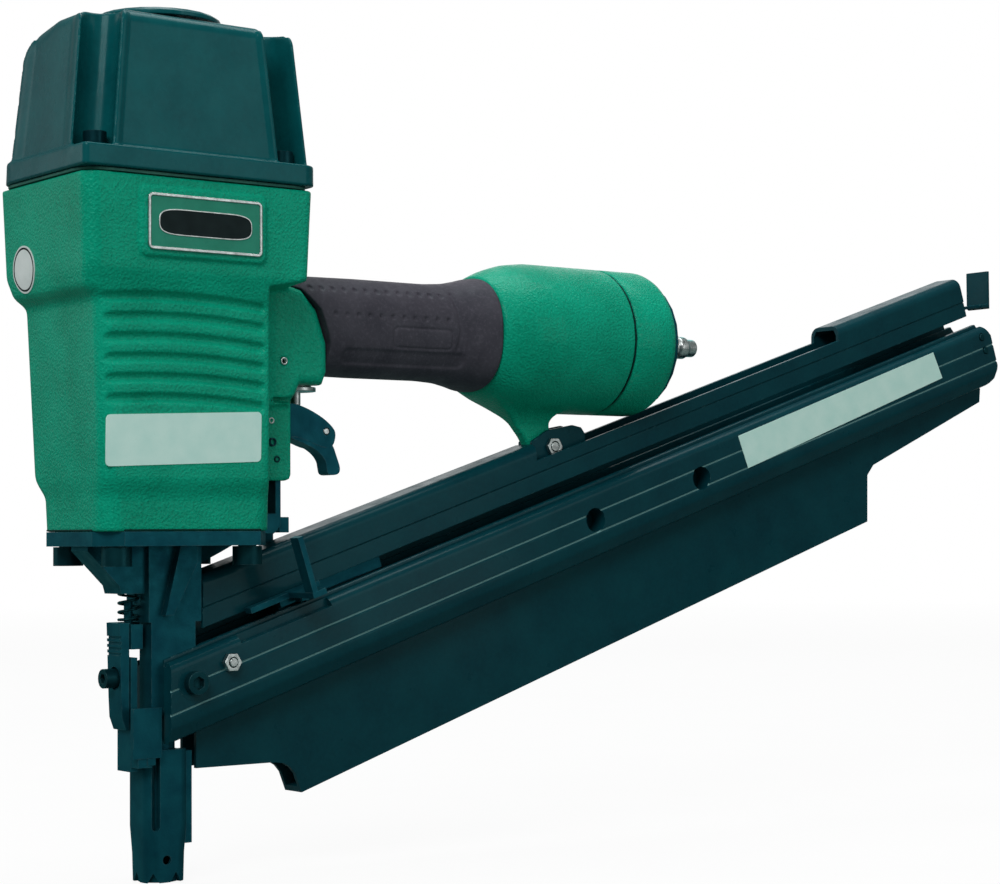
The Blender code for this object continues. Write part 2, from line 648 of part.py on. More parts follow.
# =========================================================================================
# trigger
# =========================================================================================
def trigger_parts():
    """Trigger channel with its inner tongue, the trigger valve and all their pins."""
    pivot_x, pivot_z = TRIGGER_AXIS
    outline = (arc(TRIGGER_AXIS, 4.0, 100, 280, 6)
               + [(60, 192.3), (64.3, 194.9), (73.9, 192.4), (78.2, 185.6), (82.5, 177), (88, 176.6),
                  (90.2, 178.9), (85.6, 189.0), (87, 196.3), (79.4, 203.9), (68.6, 208.6),
                  (61, 209.2), (55, 199)])
    trigger = side_plate("trigger", outline, (-8.7, 8.7), black_steel("trigger_black"))
    room = [(40, 170), (60.5, 170), (60.5, 197.2), (64.3, 197.4), (75, 195.2), (79.3, 191.2),
            (84, 191.2), (92, 193.5), (92, 215), (40, 215)]
    cut(trigger, side_plate("trigger_channel", room, (-6.0, 6.0)),
        cross_hole("trigger_bore", TRIGGER_AXIS, (-12, 12), 2.3),
        cross_hole("tongue_bore", TONGUE_AXIS, (-12, 12), 1.8))
    set_origin(trigger, (pivot_x, 0, pivot_z))
    cross_pin("trigger_pin", TRIGGER_AXIS, (-15, 15), 2.0, bare_steel("pin_steel"))

    tongue_outline = (arc(TONGUE_AXIS, 3.4, -80, 110, 6)
                      + [(72, 202.6), (54.2, 200.6), (54.2, 198.0), (70, 199.6), (78.6, 195.6)])
    tongue = side_plate("trigger_tongue", tongue_outline, (-4.2, 4.2), bare_steel("tongue_steel"),
                        (circle(TONGUE_AXIS, 1.8, 12),))
    set_origin(tongue, (TONGUE_AXIS[0], 0, TONGUE_AXIS[1]))
    cross_pin("tongue_pin", TONGUE_AXIS, (-8.7, 8.7), 1.5, bare_steel("pin_steel"))

    centre = (VALVE_X, 0, 0)
    turned("valve_body", [(2.2, 243), (7.5, 243), (7.5, 216.6), (9.6, 216.6), (9.6, 214.6), (2.9, 214.6),
                          (2.9, 224), (6.2, 224), (6.2, 241.2), (2.2, 241.2)],
           bare_steel("valve_steel"), steps=16, centre=centre)
    turned("valve_stem", [(0, 229.5), (5.6, 229.5), (5.6, 226), (2.5, 225.4), (2.5, 208.6),
                          (1.9, 208), (0, 208)], bare_steel("stem_steel"), SMALL_STEPS,
           centre=centre)
    coil("valve_spring", (VALVE_X, 0), (229.8, 240.9), 4.4, 0.5, 4, bare_steel("spring_steel"))
    for number, spot in enumerate(GUIDE_PINS, start=1):
        cross_pin("guide_pin_%d" % number, spot, (-14.6, 14.6), 1.5, bare_steel("pin_steel"))


# =========================================================================================
# nose and safety foot
# =========================================================================================
def base_outline(half_x, half_y):
    """Base plate outline: a rectangle with its four corners cut off."""
    cut_off = 10.0
    return [(-half_x, half_y - cut_off), (-half_x, -half_y + cut_off),
            (-half_x + cut_off, -half_y), (half_x - 9.5, -half_y), (half_x, -half_y + 11.5),
            (half_x, half_y - 11.5), (half_x - 9.5, half_y), (-half_x + cut_off, half_y)]


def nose_body():
    """Base plate, gussets, column and barrel: the nose forging that guides blade and nails."""
    screw_holes = [circle(spot, 4.4, 12) for spot in four_corners(BASE_SCREW_X, BASE_SCREW_Y)]
    nose = level_plate("nose_body", base_outline(43.0, 31.0), NOSE_PLATE_Z,
                       black_steel("nose_black"), screw_holes)
    depth = NOSE_PLATE_Z[0] + 2
    column = box("column", COLUMN_X, (-COLUMN_HALF_Y, COLUMN_HALF_Y), (COLUMN_Z, depth))
    rear_block = box("rear_block", (12, 16), (-COLUMN_HALF_Y, COLUMN_HALF_Y), (112, depth))
    barrel = rod("barrel", (0, 0, BARREL_TIP_Z), (0, 0, COLUMN_Z + 4), BARREL_R, None, 16)
    front_gusset = side_plate("front_gusset", [(-38, depth), (-38, 143), (-23, 128), (-22, 124.5),
                                               (-8, 124.5), (-8, depth)], (-7.5, 7.5))
    rear_gusset = side_plate("rear_gusset", [(14, depth), (36, depth), (36, 145), (30, 142),
                                             (17, 136), (14, 136)], (-3.0, 3.0))
    side_rib = side_plate("side_rib", [(-4, 115), (0, 115), (12, 138), (12, depth), (4, depth)],
                          (-14.0, -8.0))
    join(nose, column, rear_block, barrel, front_gusset, rear_gusset, side_rib)
    far_corner = level_plate("far_corner", [(-12, 0.5), (-7.4, 0.5), (-1.0, 12.5), (-12, 12.5)], (70, 112))
    near_corner = box("near_corner", (-12.0, -8.8), (-12.5, 1.0), (70, 112))
    return cut(nose, far_corner, near_corner,
               rod("drive_bore", (0, 0, 5), (0, 0, 160), DRIVE_BORE_R, None, 16),
               box("nail_slot", (0, 25), (-NAIL_SLOT_HALF_Y, NAIL_SLOT_HALF_Y), (5, NAIL_SLOT_TOP_Z)),
               rod("spring_pocket", (SPRING_X, 0, 120), (SPRING_X, 0, SPRING_Z[1] + GAP), 5.6, None, 16),
               cross_hole("front_bolt_hole", FRONT_BOLT, (-15, -6.6), 3.3))


def nose_fittings():
    """Gasket under the casting and the four M8 screws that pull the nose onto it."""
    holes = [circle(spot, 4.4, 12) for spot in four_corners(BASE_SCREW_X, BASE_SCREW_Y)]
    level_plate("base_gasket", base_outline(43.0, 31.0), (NOSE_PLATE_Z[1] + GAP, BASE_Z - GAP),
                soft_rubber("gasket_grey"), (circle((0, 0), SLEEVE_R + 0.8, LARGE_STEPS), *holes))
    socket_screws("base_screw", four_corners(BASE_SCREW_X, BASE_SCREW_Y), NOSE_PLATE_Z[0] - GAP,
                  6.5, 8.2, 4.0, 27.0, down=False)


def contact_foot():
    """Sleeve with a toothed tip that runs on the nose barrel, and its front tongue."""
    foot = tower("contact_foot", [(0, 9.5, 9.5, 5.6), (12, 9.8, 9.6, 5.6), (24, 10.6, 9.7, 5.0),
                                  (FOOT_TOP_Z, 10.6, 9.7, 5.0)], black_steel("foot_black"))
    tongue = box("foot_tongue", (-16.6, -13.4), (-6, 6), (48, 97))
    neck = box("foot_neck", (-16.4, -9.6), (-12.0, 6.0), (50, 61.2))
    near_cheek = box("near_collar", (-19, -5), (-12.5, -10.4), (54, 75.6))
    near_bridge = box("near_bridge", (-12, -5.5), (-12.3, -8.8), (51, 56))
    near_flange = box("near_flange", (8, 12.2), (-8, -5.3), (16, 56))
    far_flange = box("far_flange", (8, 12.2), (5.3, 8), (16, 56))
    join(foot, tongue, neck, near_cheek, near_bridge, near_flange, far_flange)
    cut(foot,
        rod("foot_bore", (0, 0, -5), (0, 0, 70), FOOT_BORE_R, None, 16),
        box("foot_nail_slot", (0, 25), (-5, 5), (14, 70)),
        box("foot_window", (-8, -4.5), (-15, -6), (24, 54)),
        rod("foot_window_end", (-6.25, -15, 24), (-6.25, -6, 24), 1.75, None, 12),
        box("screw_slot", (-20, -9), (-2.9, 2.9), (ADJUSTER_SCREW_Z - 6.0, ADJUSTER_SCREW_Z + 6.0)),
        rod("foot_hole", (-1.0, -14, 9.6), (-1.0, -6, 9.6), 2.0, None, 12))
    for number in range(3):
        tooth = side_plate("tooth_%d" % number, [(-3.1, -1), (3.1, -1), (0, 4.2)], (-20.0, 20.0))
        tooth.rotation_euler = (math.radians(90), 0, math.radians(20 + 60 * number))
        cut(tooth, rod("tip_ring_%d" % number, (0, 0, -5), (0, 0, 8), FOOT_BORE_R + 0.6, None, 24))
        cut(foot, tooth)


def safety_parts():
    """Depth adjuster, its screw, the arm with its yoke, and the return spring."""
    front = [(-22.0, 112), (-17.2, 112), (-17.2, 66), (-18.6, 66), (-20.6, 71.5), (-21.0, 79)]
    adjuster = side_plate("depth_adjuster", front, (-5.8, 5.8), black_steel("adjuster_black"))
    for number in range(4):
        low = 98 + 2.4 * number
        cut(adjuster, box("thumb_groove_%d" % number, (-23, -21.0), (-7, 7), (low, low + 1.1)))
    screw_z = ADJUSTER_SCREW_Z
    cut(adjuster,
        rod("screw_recess", (-30, 0, screw_z), (-19.8, 0, screw_z), 5.0, None, 16),
        rod("screw_bore", (-30, 0, screw_z), (-16, 0, screw_z), 2.9, None, 12))
    screw = rod("adjuster_screw", (-27.0, 0, screw_z), (-20.1, 0, screw_z), 4.2,
                black_steel("screw_steel"), 16)
    join(screw, rod("adjuster_shank", (-21, 0, screw_z), (-13.8, 0, screw_z), 2.5, None, 12))
    cut(screw, rod("adjuster_socket", (-28, 0, screw_z), (-24.5, 0, screw_z), 2.3, None, 6))

    side = [(-17, 101.5), (12, 101.5), (66, 119.0), (66, 158), (60.6, 158), (60.6, 129.5),
            (4, 111.8), (-17, 111.8)]
    arm = side_plate("safety_arm", side, ARM_Y, black_steel("arm_black"))
    join(arm, box("arm_bridge", (-16.7, -10.9), (-6.5, ARM_Y[0] + 1), (100.6, 111.3)),
         rod("spring_guide", (SPRING_X, 0, 110), (SPRING_X, 0, 121), 1.9, None, SMALL_STEPS))

    inner = [(48.6, 150), (54, 150), (57.6, 153.6), (57.6, 193.5), (54.7, 193.5), (54.7, 159),
             (50.1, 159), (50.1, 179), (48.6, 179)]
    yoke = side_plate("safety_yoke", inner, (-5.0, 5.0), black_steel("yoke_black"))
    outer = [(48.6, 150), (54, 150), (57.6, 153.6), (57.6, 175), (54.7, 175), (54.7, 159),
             (50.1, 159), (50.1, 175), (48.6, 175)]
    join(yoke, side_plate("yoke_wide", outer, (-9.0, 9.0)),
         box("yoke_web", (57, 62), (-2, 9), (151, 157)),
         box("yoke_wing", (60.7, 66), (-2.5, ARM_Y[0] - GAP), (150.5, 157.5)))
    coil("safety_spring", (SPRING_X, 0), (SPRING_Z[0], SPRING_Z[1]), 3.9, 0.55, 6,
         bare_steel("spring_steel"))


# =========================================================================================
# magazine
# =========================================================================================
def magazine_profile():
    """Two aluminium cheeks, cut from one profile, either side of the nail strip."""
    side = [(-3, 60.3), (506, 225.3), (527.3, 231.7), (534.3, 236.5), (535.3, 244), (529.7, 260.9),
            (523.8, 266.2), (519, 264.8), (-3, 95.2)]
    for name, y in (("magazine_cheek_near", (-CHEEK_Y[1], -CHEEK_Y[0])), ("magazine_cheek_far", CHEEK_Y)):
        cheek = side_plate(name, side, y, dark_enamel("cheek_dark"))
        outer = math.copysign(1, y[0])
        cut(cheek, box(name + "_relief", (-10, COLUMN_X[1] + 0.6), (-COLUMN_HALF_Y - GAP,
                                                                   COLUMN_HALF_Y + GAP), (50, 120)))
        for up in reversed(CHEEK_UP):
            edge = slope_box("%s_chamfer_%d" % (name, up), (-60, 640), (-2.6, 2.6), (-2.6, 2.6))
            edge.rotation_euler = (math.radians(45), -SLOPE, 0)
            x, z = slope_point(0, up)
            edge.location = (x * MM, outer * CHEEK_Y[1] * MM, z * MM)
            cut(cheek, edge)
        for number, (x, z) in enumerate(CHEEK_HOLES):
            cut(cheek, cross_hole("%s_hole_%d" % (name, number), (x, z), (y[0] - 2, y[1] + 2), 6.0, 20))
        for number, (x, z) in enumerate(REAR_PINS):
            cut(cheek, cross_hole("%s_pin_%d" % (name, number), (x, z), (y[0] - 2, y[1] + 2), 2.3))
        if outer < 0:
            cut(cheek,
                cross_hole("bolt_clearance", FRONT_BOLT, (y[0] - 2, y[1] + 2), 3.3),
                cross_hole("stud_clearance", FRONT_STUD, (y[0] - 2, y[1] + 1), 2.3),
                slope_box("lever_relief", (62, 112), (-20, -13.5), (87, 95)))


def nail_guide():
    """U-shaped plate that the nail points run in."""
    floor_front = arc((56, 36), 11.8, 90, 12, 4)
    side = ([(15, 47.8)] + floor_front
            + [(69.5, 33.4), (437.3, 154.8), (437.8, 180.3), (442.6, 185.9), (530.7, 223.2),
               (531.5, 231), (508, 238), (498, 246), slope_point(552, 88), slope_point(42.6, 88)]
            + [(15, 97.4)])
    guide = side_plate("nail_guide", side, (-GUIDE_HALF_Y, GUIDE_HALF_Y), dark_enamel("guide_dark"))
    return cut(guide, slope_box("guide_slot", (-60, 640), (-GUIDE_SLOT_HALF_Y, GUIDE_SLOT_HALF_Y),
                                (GUIDE_FLOOR_UP, 130)))


def top_rail():
    """Channel over the nail heads: closed in front, open in the middle, hooded at the rear."""
    rail = slope_box("top_rail", (0, RAIL_END_ALONG), (-RAIL_HALF_Y, RAIL_HALF_Y), RAIL_UP,
                     dark_enamel("rail_dark"))
    inner = RAIL_HALF_Y - RAIL_WALL
    opening = side_plate("rail_opening", [(OPENING_X[0], 130), (OPENING_X[1], 130),
                                          (OPENING_X[1], 330), (OPENING_X[0], 330)],
                         (-20.0, 20.0))
    cut(opening, slope_box("low_wall", (0, RAIL_END_ALONG), (-30, 30), (60, LOW_WALL_UP)))
    return cut(rail,
               slope_box("rail_channel", (-20, 640), (-inner, inner), (80, RAIL_UP[1] - 2.6)),
               slope_box("lever_slot", (-20, 640), (-20, -inner + 1), (80, 97.4)),
               box("rail_front", (-60, RAIL_FRONT_X), (-20, 20), (60, 160)),
               opening)


def magazine_fasteners():
    """Bolts, stud, nut, pins and the bracket that ties the rail to the casting's strut."""
    bolt = cross_pin("front_bolt", FRONT_BOLT, (-21.5, -17.3), 5.2, black_steel("screw_steel"), 16)
    join(bolt, cross_pin("front_bolt_shank", FRONT_BOLT, (-18, -7.2), 3.0, None))
    cut(bolt, cross_hole("front_bolt_socket", FRONT_BOLT, (-23, -19.2), 2.9, 6))
    cross_pin("front_stud", FRONT_STUD, (-20.9, -7.6), 2.0, bare_steel("pin_steel"))
    hex_along_y("front_nut", FRONT_STUD, (-20.3, -17.3), 7.5, 2.3, bare_steel("nut_steel"))
    for number, spot in enumerate(REAR_PINS, start=1):
        cross_pin("rear_pin_%d" % number, spot, (-17.6, 17.6), 2.0, bare_steel("pin_steel"))

    side = [(203.6, 180.6), (238, 191.8), (238, 199), (235.5, 202), (230, 203), (214, 200),
            (204.5, 194.5)]
    bracket = side_plate("tail_bracket", side, (-5.7, 5.7), dark_enamel("bracket_dark"))
    cut(bracket, slope_box("bracket_slot", (150, 400), (-3.6, 3.6), (109.2, 160)),
        cross_hole("bracket_hole", STRUT_BOLT, (-9, 9), 2.7))
    strut_bolt = hex_along_y("strut_bolt", STRUT_BOLT, (6.0, 8.1), 8.0, 0, bare_steel("nut_steel"))
    join(strut_bolt, cross_pin("strut_bolt_shank", STRUT_BOLT, (-8.2, 6.6), 2.4, None))
    hex_along_y("strut_nut", STRUT_BOLT, (-8.1, -6.0), 8.0, 2.7, bare_steel("nut_steel"))


def pusher_parts():
    """Carriage that pushes the nails, its thumb lever, the coiled strip spring and the nail stop."""
    carriage = slope_box("pusher_carriage", CARRIAGE_ALONG, (-4.6, 4.6), (45, 104),
                         black_steel("pusher_black"))
    join(carriage, slope_box("pusher_shoe", CARRIAGE_ALONG, (-7, 7), (92.6, 104)))
    coil_x, coil_z = slope_point(136, 72)
    cut(carriage,
        rod("coil_pocket", (coil_x, -8, coil_z), (coil_x, 8, coil_z), 9.4, None, 16))
    pin_x, pin_z = slope_point(*LEVER_PIN)
    cut(carriage, rod("pin_pocket", (pin_x, -8, pin_z), (pin_x, 5, pin_z), 1.4, None, 12))
    turned("pusher_spring", [(4, 3.6), (9.0, 3.6), (9.0, -3.6), (4, -3.6)], bare_steel("spring_steel"),
           24, "Y", (coil_x, 0, coil_z))

    lever = slope_box("pusher_lever", (92.0, 94.8), (-37.0, -30.5), (98.0, 125.7),
                      black_steel("lever_black"))
    join(lever, slope_box("lever_arm", (91.6, 99), (-37.2, -12.5), (97.8, 100.4)),
         slope_box("lever_strip", (71, 109), (-17.0, -12.0), (97.6, 100.2)),
         slope_box("lever_tab", (99.4, 108.6), (-14.2, -11.8), (93.4, 99)),
         slope_box("lever_tongue", (99, 109), (-13.5, -8.8), (93.2, 95.8)),
         rod("lever_barrel", (pin_x, -11.6, pin_z), (pin_x, -7.4, pin_z), 2.3, None, SMALL_STEPS),
         rod("lever_trunnion", (pin_x, -9.0, pin_z), (pin_x, 4.6, pin_z), 1.1, None, 12))
    set_origin(lever, (pin_x, 0, pin_z))

    root_x, root_z = slope_point(557, 104)
    bend_x, bend_z = slope_point(571, 104)
    strip = [(root_x, root_z), (bend_x, bend_z - 0.8), (538, 278.2), (539.6, 277.2), (539.6, 299),
             (538, 299), (538, 280), (bend_x, bend_z + 0.9), (root_x - 0.5, root_z + 1.6)]
    stop = side_plate("nail_stop", strip, (-8.0, 8.0), bare_steel("stop_steel"))
    cut(stop, box("stop_near", (480, 533), (-12, -6), (260, 300)),
        box("stop_far", (480, 533), (6, 12), (260, 300)))
    set_origin(stop, (root_x, 0, root_z))


# =========================================================================================
def main():
    start_scene()
    body_casting()
    head_cap()
    head_fittings()
    drive_parts()
    handle_parts()
    trigger_parts()
    nose_body()
    nose_fittings()
    contact_foot()
    safety_parts()
    magazine_profile()
    nail_guide()
    top_rail()
    magazine_fasteners()
    pusher_parts()
    for thing in bpy.data.objects:
        if thing.parent is None:
            thing.location.x += DRIVE_X * MM


main()
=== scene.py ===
"""Looks of the pneumatic strip nail gun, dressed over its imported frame.

Sizes are in millimetres along the frame's own axes: Z runs up from the tip of the contact foot,
+X points rearwards along the handle, and -Y is the side with the badge. Every X below is measured
from the drive axis, which stands at DRIVE_X in the frame.
"""
import math

import bmesh
import bpy
import numpy as np
from mathutils import Matrix, Vector


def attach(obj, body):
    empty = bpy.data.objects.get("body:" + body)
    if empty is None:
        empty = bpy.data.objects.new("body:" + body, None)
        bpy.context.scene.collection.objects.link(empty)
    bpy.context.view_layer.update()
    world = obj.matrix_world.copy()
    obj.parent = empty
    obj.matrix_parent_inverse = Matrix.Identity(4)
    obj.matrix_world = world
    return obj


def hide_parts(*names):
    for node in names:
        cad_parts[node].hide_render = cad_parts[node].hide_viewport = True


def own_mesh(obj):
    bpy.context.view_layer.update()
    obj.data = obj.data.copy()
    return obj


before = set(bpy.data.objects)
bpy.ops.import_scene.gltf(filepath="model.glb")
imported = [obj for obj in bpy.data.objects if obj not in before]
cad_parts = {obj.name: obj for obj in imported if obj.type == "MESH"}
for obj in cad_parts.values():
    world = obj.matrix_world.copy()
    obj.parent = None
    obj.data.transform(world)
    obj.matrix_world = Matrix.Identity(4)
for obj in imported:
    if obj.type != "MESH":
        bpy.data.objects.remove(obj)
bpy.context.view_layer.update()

MM = 0.001
DRIVE_X = -241.0
FROM_DRIVE = Vector((DRIVE_X * MM, 0.0, 0.0))
COARSE = 1.0
SLOPE = math.radians(18.0)
AXIS_Z = 245.0                 # centre line of the handle and the air reservoir

# ---- head and housing -------------------------------------------------------------------
BASE_Z, HEAD_Z = 151.25, 300.6
HOUSING = np.array((           # height, half length, half width
    (152.5, 43.0, 31.0), (166.0, 43.5, 31.5), (172.5, 44.6, 34.0), (247.0, 48.0, 36.0),
    (249.2, 48.6, 36.2), (252.8, 53.0, 37.2), (261.0, 54.3, 39.3), (300.6, 56.0, 40.3)))
FRONT_CORNERS = np.array(      # height, far radius, near radius
    ((166.0, 14.0, 9.0), (175.0, 7.5, 6.5), (248.0, 8.0, 6.5), (262.0, 3.5, 7.0)))
RIB_Z = (250.1, 241.5, 233.0, 224.5, 216.0, 207.4)
RIB_END_X = 31.0
ROOT = ((38, 262), (56, 262), (64.9, 259.7), (73, 251), (78.3, 236), (78.3, 223), (76, 217),
        (64, 217), (61, 211), (58, 207), (38, 206))
EAR = ((38, 173.6), (57, 173.6), (59.1, 174.4), (60, 176.4), (60, 212), (38, 212))
CAP = np.array((               # height, half length, half width of the tapered wall
    (302.4, 56.2, 39.9), (311.0, 55.6, 39.3), (366.0, 50.0, 36.6), (371.0, 49.4, 36.2)))
BADGE_CENTRE, BADGE_HALF = (0.1, 281.2), (27.8, 11.9)
STICKER = (19.4, 264.4)        # centre of the round label on the front, Y and Z

# ---- trigger and valve ------------------------------------------------------------------
ROOT_PIN = (54.4, 227.0)
TRIGGER_PIN, TONGUE_PIN = (49.9, 190.8), (82.5, 196.5)
VALVE_X = 71.0

# ---- handle and reservoir ---------------------------------------------------------------
GRIP = np.array(((60, 18.4, 22.0), (74, 19.2, 22.6), (100, 19.5, 23.0), (140, 19.8, 23.0),
                 (152, 21.0, 23.8), (162, 24.5, 25.8), (167, 27.0, 27.2), (171, 27.4, 27.4)))
BELL = np.array(((170.5, 28.0), (174.0, 30.0), (179.0, 32.2), (189.0, 35.2), (200.0, 36.5),
                 (246.0, 36.5)))
STRUT = ((182, 218), (194, 205), (201, 197), (207, 188), (222, 188), (218, 197), (217, 205),
         (217, 218))
STRUT_BOLT = (217.0, 192.0)

# ---- magazine ---------------------------------------------------------------------------
CHEEK_CLIP = ((-3, 30), (500, 190), (527.3, 231.0), (534.3, 236.5), (535.3, 244),
              (529.7, 260.9), (523.8, 266.2), (519, 280), (-3, 140))
CHEEK_HOLES = ((235.0, 155.8), (305.7, 177.1))
REAR_PINS = ((525.2, 252.1), (521.9, 259.4))
FRONT_BOLT, FRONT_STUD = (8.1, 85.7), (26.1, 94.0)
SCRIBES = (69.3, 79.1)
OPENING_X, LOW_WALL_UP = (203.5, 413.0), 112.9


# =========================================================================================
# distance fields and their meshing
# =========================================================================================
def smooth_min(a, b, k):
    """Union of two distances with a fillet of about k."""
    h = np.clip(0.5 + 0.5 * (b - a) / k, 0.0, 1.0)
    return b + (a - b) * h - k * h * (1.0 - h)


def smooth_max(a, b, k):
    """Intersection of two distances with a rounded edge of about k."""
    return -smooth_min(-a, -b, k)


def rounded_box(u, v, half_u, half_v, radius):
    du = np.abs(u) - (half_u - radius)
    dv = np.abs(v) - (half_v - radius)
    return np.hypot(np.maximum(du, 0), np.maximum(dv, 0)) + np.minimum(np.maximum(du, dv), 0) - radius


def slab(value, low, high):
    return np.abs(value - (low + high) / 2) - (high - low) / 2


def polygon(u, v, points):
    """Signed distance to a closed outline."""
    nearest = np.inf
    sign = 1.0
    for (u0, v0), (u1, v1) in zip(points, points[1:] + points[:1]):
        eu, ev = u1 - u0, v1 - v0
        wu, wv = u - u0, v - v0
        t = np.clip((wu * eu + wv * ev) / (eu * eu + ev * ev), 0, 1)
        nearest = np.minimum(nearest, (wu - eu * t) ** 2 + (wv - ev * t) ** 2)
        above, below, side = v >= v0, v < v1, eu * wv > ev * wu
        crossing = (above & below & side) | (~above & ~below & ~side)
        sign = np.where(crossing, -sign, sign)
    return sign * np.sqrt(nearest)


def segment(u, v, start, end):
    """Distance to a line from start to end."""
    eu, ev = end[0] - start[0], end[1] - start[1]
    t = np.clip(((u - start[0]) * eu + (v - start[1]) * ev) / (eu * eu + ev * ev), 0, 1)
    return np.hypot(u - start[0] - eu * t, v - start[1] - ev * t)


def eased(value, table, column, reach=1.6):
    """A table's column at a height, with its corners rounded off."""
    heights, sizes = table[:, 0], table[:, column]
    total = sum(np.interp(value + shift * reach, heights, sizes) for shift in (-1, -0.5, 0, 0.5, 1))
    return total / 5


def mesh_field(name, field, low, high, step):
    """Mesh the zero level of a distance field with one vertex in each cell it crosses."""
    step *= COARSE
    axes = [np.arange(low[i], high[i] + step, step) for i in range(3)]
    x, y, z = np.meshgrid(*axes, indexing="ij", sparse=True)
    shape = tuple(len(axis) for axis in axes)
    value = np.broadcast_to(field(x, y, z), shape)
    inside = value < 0
    cell = tuple(n - 1 for n in shape)
    corners = [(i, j, k) for i in (0, 1) for j in (0, 1) for k in (0, 1)]
    count = np.zeros(cell, np.int8)
    for i, j, k in corners:
        count += inside[i:i + cell[0], j:j + cell[1], k:k + cell[2]]
    active = (count > 0) & (count < 8)
    cells = np.argwhere(active)
    index = np.full(cell, -1)
    index[active] = np.arange(len(cells))
    total = np.zeros((len(cells), 3))
    number = np.zeros(len(cells))
    for a in corners:
        for d in range(3):
            if a[d]:
                continue
            b = tuple(a[i] + (i == d) for i in range(3))
            va = value[cells[:, 0] + a[0], cells[:, 1] + a[1], cells[:, 2] + a[2]]
            vb = value[cells[:, 0] + b[0], cells[:, 1] + b[1], cells[:, 2] + b[2]]
            crossed = (va < 0) != (vb < 0)
            t = np.where(crossed, va / np.where(crossed, va - vb, 1), 0)
            spot = np.array(a, float) + np.outer(t, np.eye(3)[d])
            total += np.where(crossed[:, None], spot, 0)
            number += crossed
    points = np.array(low) + (cells + total / number[:, None]) * step
    for _ in range(2):
        points = settle(field, points, step)
    quads = []
    for d in range(3):
        e, f = (d + 1) % 3, (d + 2) % 3
        first = [slice(None)] * 3
        second = [slice(None)] * 3
        first[d], second[d] = slice(0, -1), slice(1, None)
        change = inside[tuple(first)] != inside[tuple(second)]
        spots = np.argwhere(change)
        keep = ((spots[:, e] > 0) & (spots[:, f] > 0) & (spots[:, e] < cell[e])
                & (spots[:, f] < cell[f]))
        spots = spots[keep]
        step_e, step_f = np.eye(3, dtype=int)[e], np.eye(3, dtype=int)[f]
        ring = [index[tuple((spots - shift).T)] for shift in (0, step_e, step_e + step_f, step_f)]
        faces = np.stack(ring, 1)
        outward = inside[tuple(spots.T)]
        faces[~outward] = faces[~outward][:, ::-1]
        quads.append(faces)
    return solid(name, points, np.concatenate(quads))


def settle(field, points, step):
    """Move points along the field's gradient onto its zero level."""
    reach = step * 0.15
    value = field(*points.T)
    slope = np.empty_like(points)
    for d in range(3):
        shift = np.zeros(3)
        shift[d] = reach
        slope[:, d] = (field(*(points + shift).T) - field(*(points - shift).T)) / (2 * reach)
    size = np.maximum((slope ** 2).sum(1), 0.05)
    move = slope * (value / size)[:, None]
    length = np.linalg.norm(move, axis=1, keepdims=True)
    return points - move * np.minimum(1, 0.6 * step / np.maximum(length, 1e-9))


# =========================================================================================
# meshes
# =========================================================================================
def solid(name, points, faces):
    """An object from points in millimetres, measured from the drive axis."""
    mesh = bpy.data.meshes.new(name)
    points = (np.asarray(points, float) + (DRIVE_X, 0.0, 0.0)) * MM
    mesh.from_pydata(points.tolist(), [], [list(face) for face in faces])
    mesh.validate()
    made = bpy.data.objects.new(name, mesh)
    bpy.context.scene.collection.objects.link(made)
    return made


def slope_point(along, up):
    return (along * math.cos(SLOPE) - up * math.sin(SLOPE),
            along * math.sin(SLOPE) + up * math.cos(SLOPE))


def between_ends(name, points):
    """A bar from the points of its two end outlines, one after the other."""
    n = len(points) // 2
    faces = [[i, (i + 1) % n, n + (i + 1) % n, n + i] for i in range(n)]
    faces += [list(range(n))[::-1], list(range(n, 2 * n))]
    return outward(solid(name, points, faces))


def prism(name, outline, y):
    """A plate with its outline in the XZ plane, between two limits of Y."""
    return between_ends(name, [(x, side, z) for side in y for x, z in outline])


def outward(thing):
    """Turn every face of a closed mesh to the outside."""
    shape = bmesh.new()
    shape.from_mesh(thing.data)
    bmesh.ops.recalc_face_normals(shape, faces=shape.faces)
    shape.to_mesh(thing.data)
    shape.free()
    return thing


def block(name, x, y, z):
    return prism(name, [(x[0], z[0]), (x[1], z[0]), (x[1], z[1]), (x[0], z[1])], y)


def slope_block(name, along, y, up):
    outline = [slope_point(a, u) for a, u in ((along[0], up[0]), (along[1], up[0]),
                                              (along[1], up[1]), (along[0], up[1]))]
    return prism(name, outline, y)


def extrusion(name, section, along):
    """A closed section of (y, up) points drawn along the magazine's slope."""
    points = []
    for a in along:
        for y, up in section:
            x, z = slope_point(a, up)
            points.append((x, y, z))
    return between_ends(name, points)


def arc(centre, radius, start, end, steps=6):
    """Points on an arc, angles in degrees."""
    angles = np.radians(np.linspace(start, end, steps + 1))
    return [(centre[0] + radius * math.cos(a), centre[1] + radius * math.sin(a)) for a in angles]


def rounded_outline(centre, half, radius):
    """Outline of a rectangle with round corners."""
    u, v = half[0] - radius, half[1] - radius
    points = []
    for su, sv, start in ((1, 1, 0), (-1, 1, 90), (-1, -1, 180), (1, -1, 270)):
        points += arc((centre[0] + su * u, centre[1] + sv * v), radius, start, start + 90)
    return points


